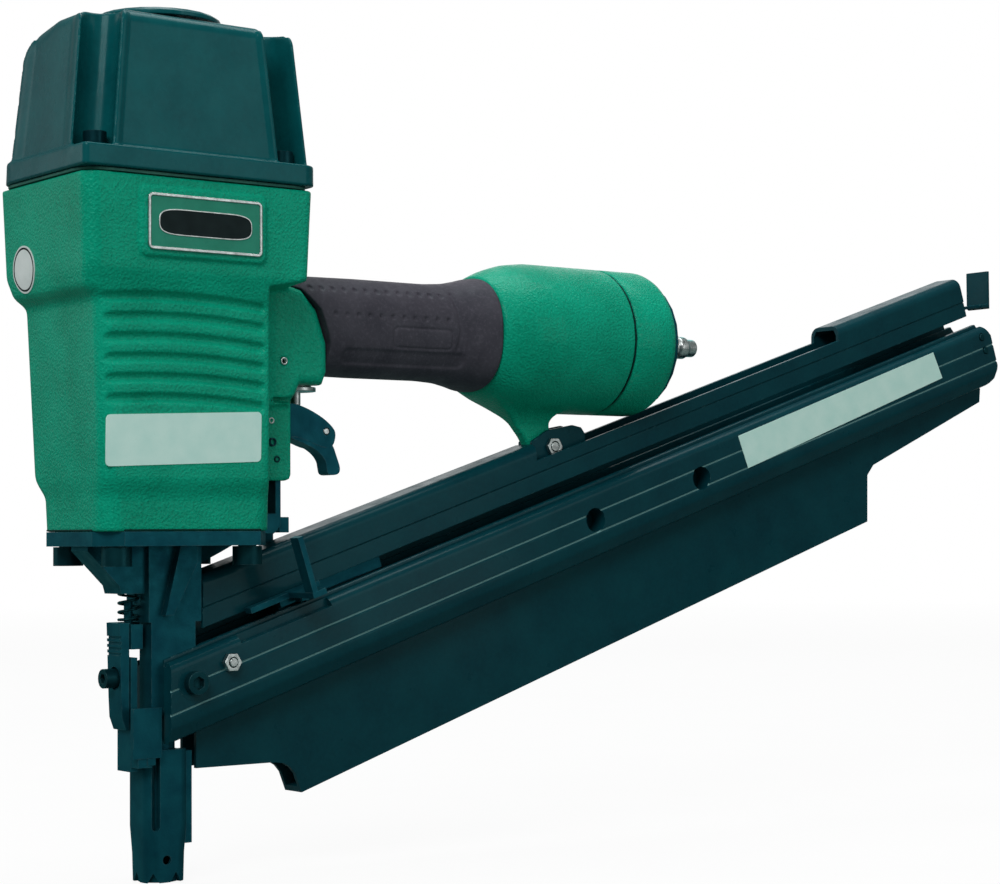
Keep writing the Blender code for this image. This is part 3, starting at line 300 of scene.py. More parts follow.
def lathe(name, profile, axis="X", centre=(0.0, 0.0, AXIS_Z), steps=96):
    """Turn a closed (radius, height) profile about an axis."""
    points, faces = [], []
    n = len(profile)
    for s in range(steps):
        angle = 2 * math.pi * s / steps
        for radius, height in profile:
            u, v = radius * math.cos(angle), radius * math.sin(angle)
            local = {"X": (height, u, v), "Y": (u, height, v), "Z": (u, v, height)}[axis]
            points.append([local[i] + centre[i] for i in range(3)])
    for s in range(steps):
        t = (s + 1) % steps
        for i in range(n):
            j = (i + 1) % n
            faces.append([s * n + i, s * n + j, t * n + j, t * n + i])
    made = solid(name, points, faces)
    shape = bmesh.new()
    shape.from_mesh(made.data)
    bmesh.ops.remove_doubles(shape, verts=shape.verts, dist=0.01 * MM)
    bmesh.ops.dissolve_degenerate(shape, edges=shape.edges, dist=0.001 * MM)
    bmesh.ops.recalc_face_normals(shape, faces=shape.faces)
    shape.to_mesh(made.data)
    shape.free()
    return made


def boolean(target, operation, *tools):
    """Cut, join or clip a piece with tools, and drop the tools."""
    for tool in tools:
        step = target.modifiers.new(tool.name, "BOOLEAN")
        step.operation = operation
        step.solver = "EXACT"
        step.object = tool
    bpy.context.view_layer.update()
    done = target.evaluated_get(bpy.context.evaluated_depsgraph_get())
    mesh = bpy.data.meshes.new_from_object(done)
    target.modifiers.clear()
    target.data = mesh
    for tool in tools:
        bpy.data.objects.remove(tool)
    return target


def hole(spot, y, radius, steps=32):
    """A tool for a round hole that runs along Y."""
    return prism("tool", arc(spot, radius, 0, 360 - 360 / steps, steps - 1), y)


def soften(thing, width, angle):
    """Round the edges sharper than an angle in degrees, and keep the faces between them flat."""
    soft = thing.modifiers.new("soft edges", "BEVEL")
    soft.width = width * MM
    soft.segments = 2
    soft.limit_method = "ANGLE"
    soft.angle_limit = math.radians(angle)
    soft.use_clamp_overlap = True
    even = thing.modifiers.new("even normals", "WEIGHTED_NORMAL")
    even.keep_sharp = True
    even.weight = 80


def dress(thing, look, bevel=0.0, angle=35.0, body="tool_body", replaces=()):
    """Give a piece its material, smooth shading and softened edges, and hang it on its body."""
    thing.data.materials.clear()
    thing.data.materials.append(look)
    for face in thing.data.polygons:
        face.use_smooth = True
    if bevel:
        soften(thing, bevel, angle)
    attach(thing, body)
    if replaces:
        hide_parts(*replaces)
    return thing


# =========================================================================================
# materials
# =========================================================================================
class Look:
    """A node material built step by step round one Principled shader."""

    def __init__(self, name, roughness, metallic=0.0, coat=0.0):
        self.made = bpy.data.materials.new(name)
        self.made.use_nodes = True
        self.tree = self.made.node_tree
        self.shader = self.tree.nodes["Principled BSDF"]
        self.shader.inputs["Metallic"].default_value = metallic
        self.shader.inputs["Roughness"].default_value = roughness
        self.shader.inputs["Specular IOR Level"].default_value = 0.12
        self.shader.inputs["Specular Tint"].default_value = (0.45, 1.0, 1.0, 1.0)
        self.shader.inputs["Coat Weight"].default_value = coat
        self.shader.inputs["Coat Roughness"].default_value = 0.12
        self.coords = self.node("ShaderNodeTexCoord").outputs["Object"]

    def node(self, kind, **settings):
        made = self.tree.nodes.new(kind)
        for key, value in settings.items():
            setattr(made, key, value)
        return made

    def link(self, source, target):
        self.tree.links.new(source, target)

    def noise(self, feature, detail=3.0, roughness=0.5, stretch=(1, 1, 1)):
        """Noise whose features are about so many millimetres wide."""
        made = self.node("ShaderNodeTexNoise")
        made.inputs["Scale"].default_value = 1 / (feature * MM)
        made.inputs["Detail"].default_value = detail
        made.inputs["Roughness"].default_value = roughness
        if stretch == (1, 1, 1):
            self.link(self.coords, made.inputs["Vector"])
        else:
            turn = self.node("ShaderNodeMapping")
            turn.inputs["Scale"].default_value = stretch
            turn.inputs["Rotation"].default_value = (0, SLOPE, 0)
            self.link(self.coords, turn.inputs["Vector"])
            self.link(turn.outputs["Vector"], made.inputs["Vector"])
        return made.outputs["Fac"]

    def spread(self, source, low, high, out_low=0.0, out_high=1.0):
        made = self.node("ShaderNodeMapRange", clamp=True)
        for key, value in (("From Min", low), ("From Max", high), ("To Min", out_low),
                           ("To Max", out_high)):
            made.inputs[key].default_value = value
        self.link(source, made.inputs["Value"])
        return made.outputs["Result"]

    def math(self, operation, a, b):
        made = self.node("ShaderNodeMath", operation=operation)
        for socket, value in zip(made.inputs, (a, b)):
            if isinstance(value, (int, float)):
                socket.default_value = value
            else:
                self.link(value, socket)
        return made.outputs[0]

    def mix(self, factor, a, b):
        """Mix of two colours; each may be a tuple or the output of an earlier mix."""
        made = self.node("ShaderNodeMix", data_type="RGBA")
        self.link(factor, made.inputs["Factor"])
        for key, value in ((6, a), (7, b)):
            if isinstance(value, tuple):
                made.inputs[key].default_value = (*value, 1.0)
            else:
                self.link(value, made.inputs[key])
        return made.outputs[2]

    def edges(self, fine):
        """A mask of the raised edges: by curvature on a fine mesh, by a rounded normal on a plain one."""
        geometry = self.node("ShaderNodeNewGeometry")
        if fine:
            return self.spread(geometry.outputs["Pointiness"], 0.53, 0.6)
        rounded = self.node("ShaderNodeBevel", samples=4)
        rounded.inputs["Radius"].default_value = 0.6 * MM
        facing = self.node("ShaderNodeVectorMath", operation="DOT_PRODUCT")
        self.link(rounded.outputs["Normal"], facing.inputs[0])
        self.link(geometry.outputs["Normal"], facing.inputs[1])
        return self.spread(facing.outputs["Value"], 0.99, 0.9)

    def scribed(self, lines):
        """A mask of the fine lines cut along the magazine's cheeks, at their heights up the slope, where a
        painted highlight is laid.
        """
        parts = self.node("ShaderNodeSeparateXYZ")
        self.link(self.coords, parts.inputs[0])
        ahead = self.math("MULTIPLY", self.math("SUBTRACT", parts.outputs[0], DRIVE_X * MM),
                          -math.sin(SLOPE))
        up = self.math("ADD", ahead, self.math("MULTIPLY", parts.outputs[2], math.cos(SLOPE)))
        total = 0.0
        for line in lines:
            away = self.math("ABSOLUTE", self.math("SUBTRACT", up, (line + 0.1) * MM), 0.0)
            total = self.math("ADD", total, self.spread(away, 0.55 * MM, 0.3 * MM))
        side = self.math("ABSOLUTE", parts.outputs[1], 0.0)
        cut = self.math("MULTIPLY", self.spread(side, 16.99 * MM, 16.9 * MM),
                        self.spread(side, 16.0 * MM, 16.2 * MM))
        return self.math("MULTIPLY", total, cut)

    def bump(self, height, distance, strength=1.0, after=None):
        made = self.node("ShaderNodeBump")
        made.inputs["Distance"].default_value = distance * MM
        made.inputs["Strength"].default_value = strength
        self.link(height, made.inputs["Height"])
        if after:
            self.link(after, made.inputs["Normal"])
        return made.outputs["Normal"]

    def use(self, colour, roughness, normal):
        self.link(colour, self.shader.inputs["Base Color"])
        self.link(roughness, self.shader.inputs["Roughness"])
        self.link(normal, self.shader.inputs["Normal"])
        return self.made


def enamel(name, dark, light, bare_and_line_highlight, roughness, peel, peel_depth, wear=0.5, fine=True, coat=0.06,
           glint_strength=0.16, lines=()):
    """Sprayed enamel: orange peel, slow colour drift, painted glints on the peel's peaks, chips along the
    raised edges, and painted highlights along any scribed lines.
    """
    look = Look(name, roughness, coat=coat)
    drift = look.spread(look.noise(22, 3), 0.3, 0.7)
    # painted glints: a mask at the orange peel's scale lightens the peel's peaks towards a brighter copy of
    # the light tone, standing in for highlights
    pebble_size_and_peel_glint = look.spread(look.noise(peel, 2), 0.35, 0.68)
    colour = look.mix(drift, dark, light)
    colour = look.mix(look.math("MULTIPLY", pebble_size_and_peel_glint, glint_strength), colour, tuple(c * 1.5 for c in light))
    # painted highlight: the scribed lines take the bright bare tone, standing in for light caught by their
    # flanks
    if lines:
        colour = look.mix(look.scribed(lines), colour, bare_and_line_highlight)
    chips = look.spread(look.noise(2.4, 4, 0.6), 0.56, 0.66)
    chips = look.math("MULTIPLY", look.math("MULTIPLY", chips, look.edges(fine)), wear)
    colour = look.mix(chips, colour, bare_and_line_highlight)
    rough = look.spread(look.noise(9, 4), 0.25, 0.75, roughness - 0.08, roughness + 0.12)
    rough = look.math("ADD", rough, look.math("MULTIPLY", chips, 0.15))
    normal = look.bump(look.noise(peel, 1.5), peel_depth)
    return look.use(colour, rough, normal)


def oiled_steel(name, dark, light, roughness, metallic=0.55):
    """Blackened steel with light scratches, rubbed bright on its edges."""
    look = Look(name, roughness, metallic)
    drift = look.spread(look.noise(11, 4), 0.3, 0.7)
    colour = look.mix(drift, dark, light)
    worn = look.math("MULTIPLY", look.edges(False), look.spread(look.noise(3.0, 4), 0.4, 0.62))
    colour = look.mix(look.math("MULTIPLY", worn, 0.45), colour, (0.10, 0.17, 0.18))
    scratch = look.noise(0.35, 2, 0.6, (1, 1, 0.07))
    rough = look.spread(look.noise(5, 5), 0.25, 0.75, roughness - 0.1, roughness + 0.14)
    normal = look.bump(scratch, 0.02, 0.8, look.bump(look.noise(1.1, 3), 0.05))
    return look.use(colour, rough, normal)


def bright_steel(name, tone, roughness):
    """Plated or ground steel with fine turning marks and a little tarnish."""
    look = Look(name, roughness, 1.0)
    tarnish = look.spread(look.noise(3.5, 5, 0.6), 0.42, 0.72)
    colour = look.mix(tarnish, tone, tuple(c * 0.55 for c in tone))
    rough = look.spread(look.noise(1.2, 4), 0.25, 0.75, roughness - 0.08, roughness + 0.16)
    normal = look.bump(look.noise(0.3, 2, 0.6, (0.1, 1, 1)), 0.012)
    return look.use(colour, rough, normal)


def moulded(name, dark, light, roughness, pebble_size_and_peel_glint=0.7, depth=0.1):
    """Matt moulded rubber or plastic with a fine pebble and dusty high spots."""
    look = Look(name, roughness)
    colour = look.mix(look.spread(look.noise(14, 4), 0.3, 0.7), dark, light)
    dust = look.math("MULTIPLY", look.spread(look.noise(1.6, 5, 0.65), 0.5, 0.75), 0.28)
    colour = look.mix(dust, colour, tuple(min(1, c * 2.2) for c in light))
    rough = look.spread(look.noise(6, 4), 0.25, 0.75, roughness - 0.1, roughness + 0.12)
    return look.use(colour, rough, look.bump(look.noise(pebble_size_and_peel_glint, 2), depth))


def printed(name, tone, shade, roughness=0.35, coat=0.15):
    """Label film: nearly even, with a faint cloud and rubbed, yellowed patches."""
    look = Look(name, roughness, coat=coat)
    colour = look.mix(look.spread(look.noise(9, 4), 0.35, 0.75), tone, shade)
    scuff = look.math("MULTIPLY", look.spread(look.noise(0.9, 5, 0.7), 0.6, 0.8), 0.35)
    colour = look.mix(scuff, colour, tuple(c * 0.72 for c in shade))
    rough = look.spread(look.noise(4, 3), 0.25, 0.75, roughness - 0.08, roughness + 0.15)
    return look.use(colour, rough, look.bump(look.noise(2.2, 3), 0.03))


GREEN = enamel("green_enamel", (0.0014, 0.275, 0.163), (0.0030, 0.375, 0.228), (0.20, 0.58, 0.44),
               0.34, 1.1, 0.60, glint_strength=0.30)
TEAL = enamel("dark_enamel", (0.0016, 0.072, 0.082), (0.0027, 0.099, 0.108), (0.12, 0.32, 0.33),
              0.25, 2.6, 0.035, coat=0.10)
SATIN = enamel("satin_enamel", (0.0015, 0.034, 0.047), (0.0025, 0.048, 0.062), (0.10, 0.25, 0.27),
               0.33, 1.6, 0.02, 0.6, False)
# The cheek enamel's bright bare tone is both the chips' bare metal and a painted highlight along the
# scribed lines.
CHEEK = enamel("cheek_enamel", (0.0015, 0.034, 0.047), (0.0025, 0.048, 0.062), (0.22, 0.42, 0.42),
               0.33, 1.6, 0.02, 0.3, False, 0.12, lines=SCRIBES)
BLACK = oiled_steel("black_steel", (0.004, 0.058, 0.084), (0.007, 0.094, 0.122), 0.40)
SCREW = oiled_steel("screw_steel", (0.003, 0.030, 0.040), (0.006, 0.050, 0.060), 0.34)
STEEL = bright_steel("bare_steel", (0.62, 0.66, 0.65), 0.30)
GRIP_RUBBER = moulded("grip_rubber", (0.050, 0.044, 0.058), (0.076, 0.068, 0.086), 0.56, 0.8, 0.09)
SEAL = moulded("seal_rubber", (0.03, 0.12, 0.10), (0.06, 0.18, 0.14), 0.7)
DARK_SEAL = moulded("dark_seal", (0.004, 0.02, 0.02), (0.008, 0.035, 0.03), 0.6)
ALLOY = bright_steel("alloy", (0.55, 0.58, 0.58), 0.42)
ACETAL = moulded("acetal", (0.62, 0.58, 0.48), (0.75, 0.71, 0.60), 0.5, 0.5, 0.03)
MINT = printed("mint_label", (0.72, 0.98, 0.90), (0.62, 0.92, 0.84))
WHITE = printed("white_label", (0.84, 0.88, 0.87), (0.72, 0.78, 0.76))
INK = printed("ink", (0.006, 0.010, 0.011), (0.010, 0.016, 0.017), 0.5, 0.05)
BADGE_GREEN = printed("badge_green", (0.015, 0.23, 0.145), (0.022, 0.28, 0.18), 0.30)


# =========================================================================================
# casting
# =========================================================================================
def housing_field(x, y, z):
    """Head housing with its ribs, the handle root and the trigger ears."""
    half_x, half_y = eased(z, HOUSING, 1), eased(z, HOUSING, 2)
    front = np.where(y < 0, eased(z, FRONT_CORNERS, 2), eased(z, FRONT_CORNERS, 1))
    rear = np.where(y < 0, 12.5 - 8.0 * np.clip((z - 252.0) / 10.0, 0, 1), 12.5)
    corner = np.where(x < 0, front, rear)
    wall = rounded_box(x, y, half_x, half_y, corner)
    ridge = 0.894 * x - 0.447 * y - 47.4 - np.maximum(z - 257.5, 0) * 5.0
    wall = smooth_max(wall, ridge, 1.2)
    body = smooth_max(wall, slab(z, BASE_Z, HEAD_Z), 1.2)
    boss = smooth_max(rounded_box(x - BADGE_CENTRE[0], z - BADGE_CENTRE[1], BADGE_HALF[0] + 2.6,
                                  BADGE_HALF[1] + 2.6, 3.2), slab(y, -41.0, -30.0), 0.9)
    body = smooth_min(body, boss, 1.6)
    bow = z + 2.4 * ((x + 12.0) / 42.0) ** 2
    for rib_z in RIB_Z:
        start = -45.5 + (250.0 - rib_z) * 0.07
        reach = segment(x, bow, (start, rib_z), (RIB_END_X, rib_z))
        body = smooth_max(body, 2.45 - np.hypot(reach, y + half_y + 0.8), 0.45)
    root = smooth_max(polygon(x, z, ROOT), np.abs(y) - 17.0, 4.5)
    body = smooth_min(body, root, 6.0)
    ear = smooth_max(polygon(x, z, EAR), np.abs(np.abs(y) - 12.0) - 2.0, 1.0)
    body = smooth_min(body, ear, 1.2)
    crease = np.maximum(np.hypot(z - 209.8, np.abs(y) - 15.0) - 1.7, 44.0 - x)
    body = smooth_max(body, -crease, 0.5)
    room = smooth_max(np.maximum(slab(x, 48.4, 66.0), slab(z, 140.0, 214.0)), np.abs(y) - 10.0, 0.8)
    body = smooth_max(body, -room, 0.8)
    away = np.hypot(x - VALVE_X, y)
    body = smooth_max(body, -np.maximum(away - 10.2, z - 216.9), 0.6)
    body = smooth_max(body, -np.maximum(away - 7.9, z - 240.0), 0.5)
    pin = np.hypot(x - ROOT_PIN[0], z - ROOT_PIN[1])
    return smooth_max(body, -np.maximum(pin - 1.9, y + 12.0), 0.5)


def bell_field(x, y, z):
    """Air reservoir with its bell-shaped front and the strut under it."""
    radius = np.interp(x, BELL[:, 0], BELL[:, 1])
    radius = (radius + eased(x, BELL, 1, 3.0)) / 2
    tank = smooth_max(np.hypot(y, z - AXIS_Z) - radius, slab(x, 171.0, 245.5), 1.6)
    half_y = 3.2 + np.clip(z - 203.0, 0, 15) * 0.25
    strut = smooth_max(polygon(x, z, STRUT), np.abs(y) - half_y, 1.6)
    both = smooth_min(tank, strut, 7.0)
    bolt = np.hypot(x - STRUT_BOLT[0], z - STRUT_BOLT[1]) - 2.7
    return np.where(bolt > 0, both, np.maximum(both, 0.2))


def cap_field(x, y, z):
    """Tapered cap with an open screw flute in each corner, lipped edges and a broad flange."""
    half_x, half_y = eased(z, CAP, 1), eased(z, CAP, 2)
    wall = rounded_box(x, y, half_x, half_y, 9.0)
    ahead = np.abs(x) - half_x + np.where(x < 0, 7.9, 11.6)
    across = np.abs(y) - half_y + 9.2
    turned = np.where(x < 0, 0.45, 0.17)
    broad = np.sqrt(1 - turned ** 2)
    mouth = ahead * turned + across * broad
    aside = ahead * broad - across * turned
    wide = np.where(x < 0, 8.0, 7.7)
    flute = np.hypot(np.minimum(mouth, 0), aside) - wide
    bead = np.hypot(np.maximum(np.abs(np.abs(aside) - wide - 1.6) - 0.4, 0), wall + 0.6) - 1.6
    crown = smooth_min(wall, np.maximum(bead, 309.0 - z), 1.0)
    far_front = np.clip(y / 30.0, 0, 1) * np.clip(-x / 40.0, 0, 1)
    crown = smooth_max(crown, z - 371.0, 6.0 + 12.0 * far_front)
    crown = smooth_max(crown, -np.maximum(flute, 312.0 - z), 1.3)
    corner = np.where(x < 0, np.where(y < 0, 2.5, 16.0), 8.0)
    edge = rounded_box(x, y, 57.6, 42.2, corner)
    flange = smooth_max(edge, slab(z, 302.4, 311.6), 1.1)
    return smooth_max(smooth_min(crown, flange, 1.5), 302.4 - z, 0.4)


def grip_field(x, y, z):
    """Moulded grip with dimples, a groove and shallow recesses on both sides."""
    half_y, half_z = eased(x, GRIP, 1, 2.5), eased(x, GRIP, 2, 2.5)
    power = 2.35
    ratio = (np.abs(y / half_y) ** power + np.abs((z - AXIS_Z) / half_z) ** power) ** (1 / power)
    tube = (ratio - 1.0) * half_y
    side = np.where(np.abs(y) > 6.0, 1.0, 0.0)
    depth = 0.0
    for first, last, number, height in ((70, 142, 13, 261.0), (81, 144, 11, 249.5)):
        pitch = (last - first) / (number - 1)
        place = first + np.clip(np.round((x - first) / pitch), 0, number - 1) * pitch
        spot = np.hypot(x - place, z - height)
        depth = depth + 0.55 * np.exp(-(spot / 1.15) ** 4)
    outline = np.abs(rounded_box(x - 129.5, z - 240.3, 16.5, 4.6, 2.4))
    depth = depth + 0.35 * np.exp(-(outline / 0.55) ** 2)
    recess = rounded_box(x - 120.0, z - 230.8, 34.0, 3.3, 3.2)
    depth = depth + 0.7 / (1 + np.exp(np.clip(recess / 0.35, -30, 30)))
    curve = np.minimum(segment(x, z, (148.0, 262.0), (150.5, 246.0)),
                       segment(x, z, (150.5, 246.0), (149.0, 236.0)))
    depth = depth + 0.5 * np.exp(-(curve / 0.8) ** 2)
    tube = tube + side * depth
    tube = smooth_max(tube, slab(x, 58.0, 170.7), 0.8)
    return smooth_max(tube, -(polygon(x, z, ROOT) - 0.5), 0.5)


def casting_pieces():
    housing = mesh_field("housing", housing_field, (-60, -46, 150), (82, 46, 304), 0.92)
    dress(housing, GREEN, replaces=("body_casting",))
    bell = mesh_field("reservoir_bell", bell_field, (168, -40, 185), (249, 40, 285), 0.9)
    dress(bell, GREEN)
    cap = mesh_field("cap_shell", cap_field, (-60, -45, 300), (60, 45, 374), 0.75)
    dress(cap, TEAL, replaces=("head_cap",))
    grip = mesh_field("moulded_grip", grip_field, (56, -30, 215), (173, 30, 275), 0.55)
    dress(grip, GRIP_RUBBER, replaces=("grip_sleeve",))


# =========================================================================================
# badge, labels and turned fittings
# =========================================================================================
def ring_plate(name, centre, half, radius, width, y):
    """A flat rounded frame of one width."""
    made = prism(name, rounded_outline(centre, half, radius), y)
    inner = (half[0] - width, half[1] - width)
    tool = prism("tool", rounded_outline(centre, inner, max(radius - width, 0.6)), (y[0] - 1, y[1] + 1))
    return boolean(made, "DIFFERENCE", tool)


def lozenge_outline(grow=0.0):
    """Outline of the badge's blank centre field: bowed sides and round corners."""
    points = []
    for angle in np.linspace(0, 2 * math.pi, 64, endpoint=False):
        c, s = math.cos(angle), math.sin(angle)
        points.append((math.copysign(abs(c) ** 0.32, c) * (22.3 + grow),
                       281.3 + math.copysign(abs(s) ** 0.65, s) * (5.2 + grow)))
    return points


def badge_pieces():
    rim = ring_plate("badge_rim", BADGE_CENTRE, BADGE_HALF, 2.2, 1.25, (-42.1, -40.6))
    dress(rim, STEEL, 0.3, replaces=("name_badge",))
    field_half = (BADGE_HALF[0] - 1.1, BADGE_HALF[1] - 1.1)
    field = prism("badge_field", rounded_outline(BADGE_CENTRE, field_half, 1.4), (-41.7, -40.7))
    dress(field, BADGE_GREEN, 0.15)
    dress(prism("badge_lozenge_rim", lozenge_outline(0.45), (-42.0, -41.5)), STEEL, 0.15)
    dress(prism("badge_lozenge", lozenge_outline(), (-42.15, -41.6)), INK, 0.12)


def housing_face(z):
    """Y of the housing's near face at a height."""
    return -float(eased(np.array(z), HOUSING, 2))


def film(name, outline, place, look):
    """A thin label that follows a face: rings of points laid on it by place(u, v, lift)."""
    n = len(outline)
    middle = np.mean(outline, axis=0)
    rings = [(0.02, -0.3)] + [(t, 0.22) for t in np.linspace(0.02, 1, 13)] + [(1, -0.3)]
    rings += [(t, -0.3) for t in np.linspace(1, 0.02, 13)[1:-1]]
    points = []
    for t, lift in rings:
        for spot in outline:
            u, v = middle + (np.array(spot) - middle) * t
            points.append(place(u, v, lift))
    rows = len(rings)
    faces = []
    for r in range(1, rows):
        q = (r + 1) % rows
        for i in range(n):
            j = (i + 1) % n
            faces.append([r * n + i, r * n + j, q * n + j, q * n + i])
    faces += [list(range(n)), list(range(n, 2 * n))]
    made = outward(solid(name, points, faces))
    made.data.set_sharp_from_angle(angle=math.radians(35))
    return dress(made, look)


def ring_film(outer, inner, place):
    """A printed ring that lies on a label."""
    n = len(outer)
    loops = ((outer, 0.28), (inner, 0.28), (inner, 0.1), (outer, 0.1))
    points = [place(u, v, lift) for loop, lift in loops for u, v in loop]
    faces = []
    for r in range(4):
        q = (r + 1) % 4
        faces += [[r * n + i, r * n + (i + 1) % n, q * n + (i + 1) % n, q * n + i] for i in range(n)]
    return outward(solid("sticker_ring", points, faces))


def label_pieces():
    def near(x, z, lift):
        level = z - 0.8 + 3.0 * (x + 43.7) / 75.0
        return (x, housing_face(level) - lift - 0.05, level)
    film("rating_label", rounded_outline((-6.1, 189.8), (37.6, 10.8), 2.0), near, MINT)
    strip = [(331.4, 199.2), (338.3, 182.6), (488.2, 234.9), (481.0, 248.9)]
    film("warning_strip", strip, lambda x, z, lift: (x, -17.0 - lift, z), MINT)

    def front(y, z, lift):
        half = float(eased(np.array(z), HOUSING, 1))
        return (-half - lift - 0.05, y, z)
    circle, outer, inner = (arc(STICKER, radius, 0, 352.5, 47) for radius in (10.3, 9.5, 8.7))
    film("round_sticker", circle, front, WHITE)
    dress(ring_film(outer, inner, front), INK)


def reservoir_cap():
    cap = [(6.9, 275.0), (29.5, 275.0), (31.5, 274.7), (34.0, 273.6), (35.6, 272.0), (36.4, 269.8),
           (36.5, 268.8), (36.5, 247.7), (36.0, 246.9), (32.7, 246.9), (32.7, 240), (30, 240),
           (30, 268), (6.9, 268)]
    dress(lathe("reservoir_cap", cap), GREEN, replaces=("reservoir_end_cap",))


def hose_plug():
    plug = [(2.8, 315.4), (3.9, 315.4), (4.5, 314.8), (4.6, 310.2), (4.9, 309.2), (5.7, 308.4),
            (5.7, 304.6), (5.3, 304.0), (4.0, 303.0), (3.9, 302.4), (3.9, 300.0), (4.1, 299.4),
            (5.5, 298.3), (5.7, 297.8), (5.7, 290.4), (6.1, 289.6), (6.4, 289.0), (6.4, 286.0),
            (6.4, 266.0), (2.8, 266.0)]
    plug = lathe("hose_plug", plug, steps=48)
    six = arc((0.0, AXIS_Z), 9.8, 0, 300, 5)
    hexagon = between_ends("plug_hexagon", [(x, y, z) for x in (277.4, 286.0) for y, z in six])
    dress(boolean(plug, "UNION", hexagon), STEEL, 0.3, 40, replaces=("air_plug",))


def cross_pins():
    """The hollow pins through the trigger ears, and the roll pin in the handle's root."""
    for name, spot, half, radius, look in (("trigger_pin", TRIGGER_PIN, 15.0, 2.0, SCREW),
                                           ("guide_pin_1", (52.4, 183.2), 14.6, 1.5, SCREW),
                                           ("guide_pin_2", (49.5, 200.4), 14.6, 1.5, STEEL)):
        inner = radius * 0.6
        tube = [(inner, -half), (radius - 0.2, -half), (radius, -half + 0.3), (radius, half - 0.3),
                (radius - 0.2, half), (inner, half), (inner, half - 4), (0, half - 4),
                (0, 4 - half), (inner, 4 - half)]
        centre = (spot[0], 0.0, spot[1])
        dress(lathe("hollow_" + name, tube, "Y", centre, 32), look, replaces=(name,))
    sleeve = [(1.15, -17.5), (1.6, -17.5), (1.8, -17.2), (1.8, -12.4), (1.15, -12.4)]
    dress(lathe("root_roll_pin", sleeve, "Y", (ROOT_PIN[0], 0.0, ROOT_PIN[1]), 32), STEEL)


def rounded_path(points):
    """A closed outline with its corners cut round."""
    for _ in range(2):
        softer = []
        for (u0, v0), (u1, v1) in zip(points, points[1:] + points[:1]):
            softer += [(u0 * 0.75 + u1 * 0.25, v0 * 0.75 + v1 * 0.25),
                       (u0 * 0.25 + u1 * 0.75, v0 * 0.25 + v1 * 0.75)]
        points = softer
    return points


def trigger_piece():
    """Finger lever: a channel with two cheeks whose front runs down into a narrower curved tail."""
    cheek = arc(TRIGGER_PIN, 4.0, 100, 280, 6)
    cheek += [(60, 192.3), (64.3, 194.2), (72.2, 192.2), (79.8, 189.2), (85.6, 189.0), (87.6, 194.4),
              (86.6, 198.0), (79.6, 203.4), (68.6, 208.2), (61, 209.0), (55, 199)]
    trigger = prism("finger_lever", rounded_path(cheek), (-8.7, 8.7))
    room = [(40, 170), (60.5, 170), (60.5, 197.2), (64.3, 197.4), (75, 195.2), (79.3, 191.9),
            (84, 191.9), (92, 193.5), (92, 215), (40, 215)]
    cutters = [prism("room", room, (-6.0, 6.0)), hole(TRIGGER_PIN, (-12, 12), 2.3),
               hole(TONGUE_PIN, (-12, 12), 1.8, 24)]
    boolean(trigger, "DIFFERENCE", *cutters)
    tail = [(62.0, 193.4), (72.0, 190.4), (78.6, 187.0), (82.0, 183.2), (82.6, 179.6), (83.2, 177.0),
            (86.0, 176.4), (89.4, 177.2), (90.0, 180.0), (88.2, 184.6), (86.0, 190.4), (84.0, 191.4),
            (78.0, 191.4), (72.0, 194.0), (64.0, 196.0)]
    boolean(trigger, "UNION", prism("tail", rounded_path(tail), (-8.5, -0.6)))
    dress(trigger, BLACK, 0.5, 30, body="trigger", replaces=("trigger",))


def coil_spring(name, x, z, radius, wire, turns, look):
    """A round-wire spring on a vertical axis, with its end turns lying flat."""
    points, faces = [], []
    rows, sides = int(turns * 28) + 1, 10
    for row in range(rows):
        share = row / (rows - 1)
        angle = 2 * math.pi * turns * share
        free = min(max((share * turns - 0.6) / (turns - 1.2), 0.0), 1.0)
        level = z[0] + wire + (z[1] - z[0] - 2 * wire) * free
        for side in range(sides):
            around = 2 * math.pi * side / sides
            reach = radius + wire * math.cos(around)
            points.append((x + reach * math.cos(angle), reach * math.sin(angle),
                           level + wire * math.sin(around)))
    for row in range(rows - 1):
        for side in range(sides):
            other = (side + 1) % sides
            faces.append([row * sides + side, row * sides + other, (row + 1) * sides + other,
                          (row + 1) * sides + side])
    faces += [list(range(sides)), list(range((rows - 1) * sides, rows * sides))]
    made = dress(outward(solid("coil_" + name, points, faces)), look, replaces=(name,))
    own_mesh(made)


def springs():
    coil_spring("head_valve_spring", 0.0, (340.4, 364.6), 19.0, 1.2, 4.2, STEEL)
    coil_spring("valve_spring", VALVE_X, (229.8, 240.9), 4.4, 0.5, 5.2, STEEL)
    coil_spring("safety_spring", -14.6, (112.6, 137.4), 4.1, 0.6, 7.2, SCREW)


# =========================================================================================
# magazine
# =========================================================================================
def cheek_section(side):
    """Outer half of an extruded cheek: lip, groove, round shoulder, scribed face, lower edge."""
    section = [(7.3, 57.6), (13.4, 57.6), (14.6, 58.3), (16.4, 62.8), (17.0, 64.4)]
    for up in SCRIBES:
        section += [(17.0, up - 1.0), (16.35, up + 0.05), (16.4, up + 0.25), (17.0, up + 0.5)]
    section += arc((12.7, 86.6), 4.3, 0, 82, 8)
    section += [(12.6, 90.4), (12.3, 88.9), (10.9, 88.9), (10.6, 91.8), (10.2, 92.2), (7.8, 92.2),
                (7.3, 91.8)]
    return [(side * y, up) for y, up in section]


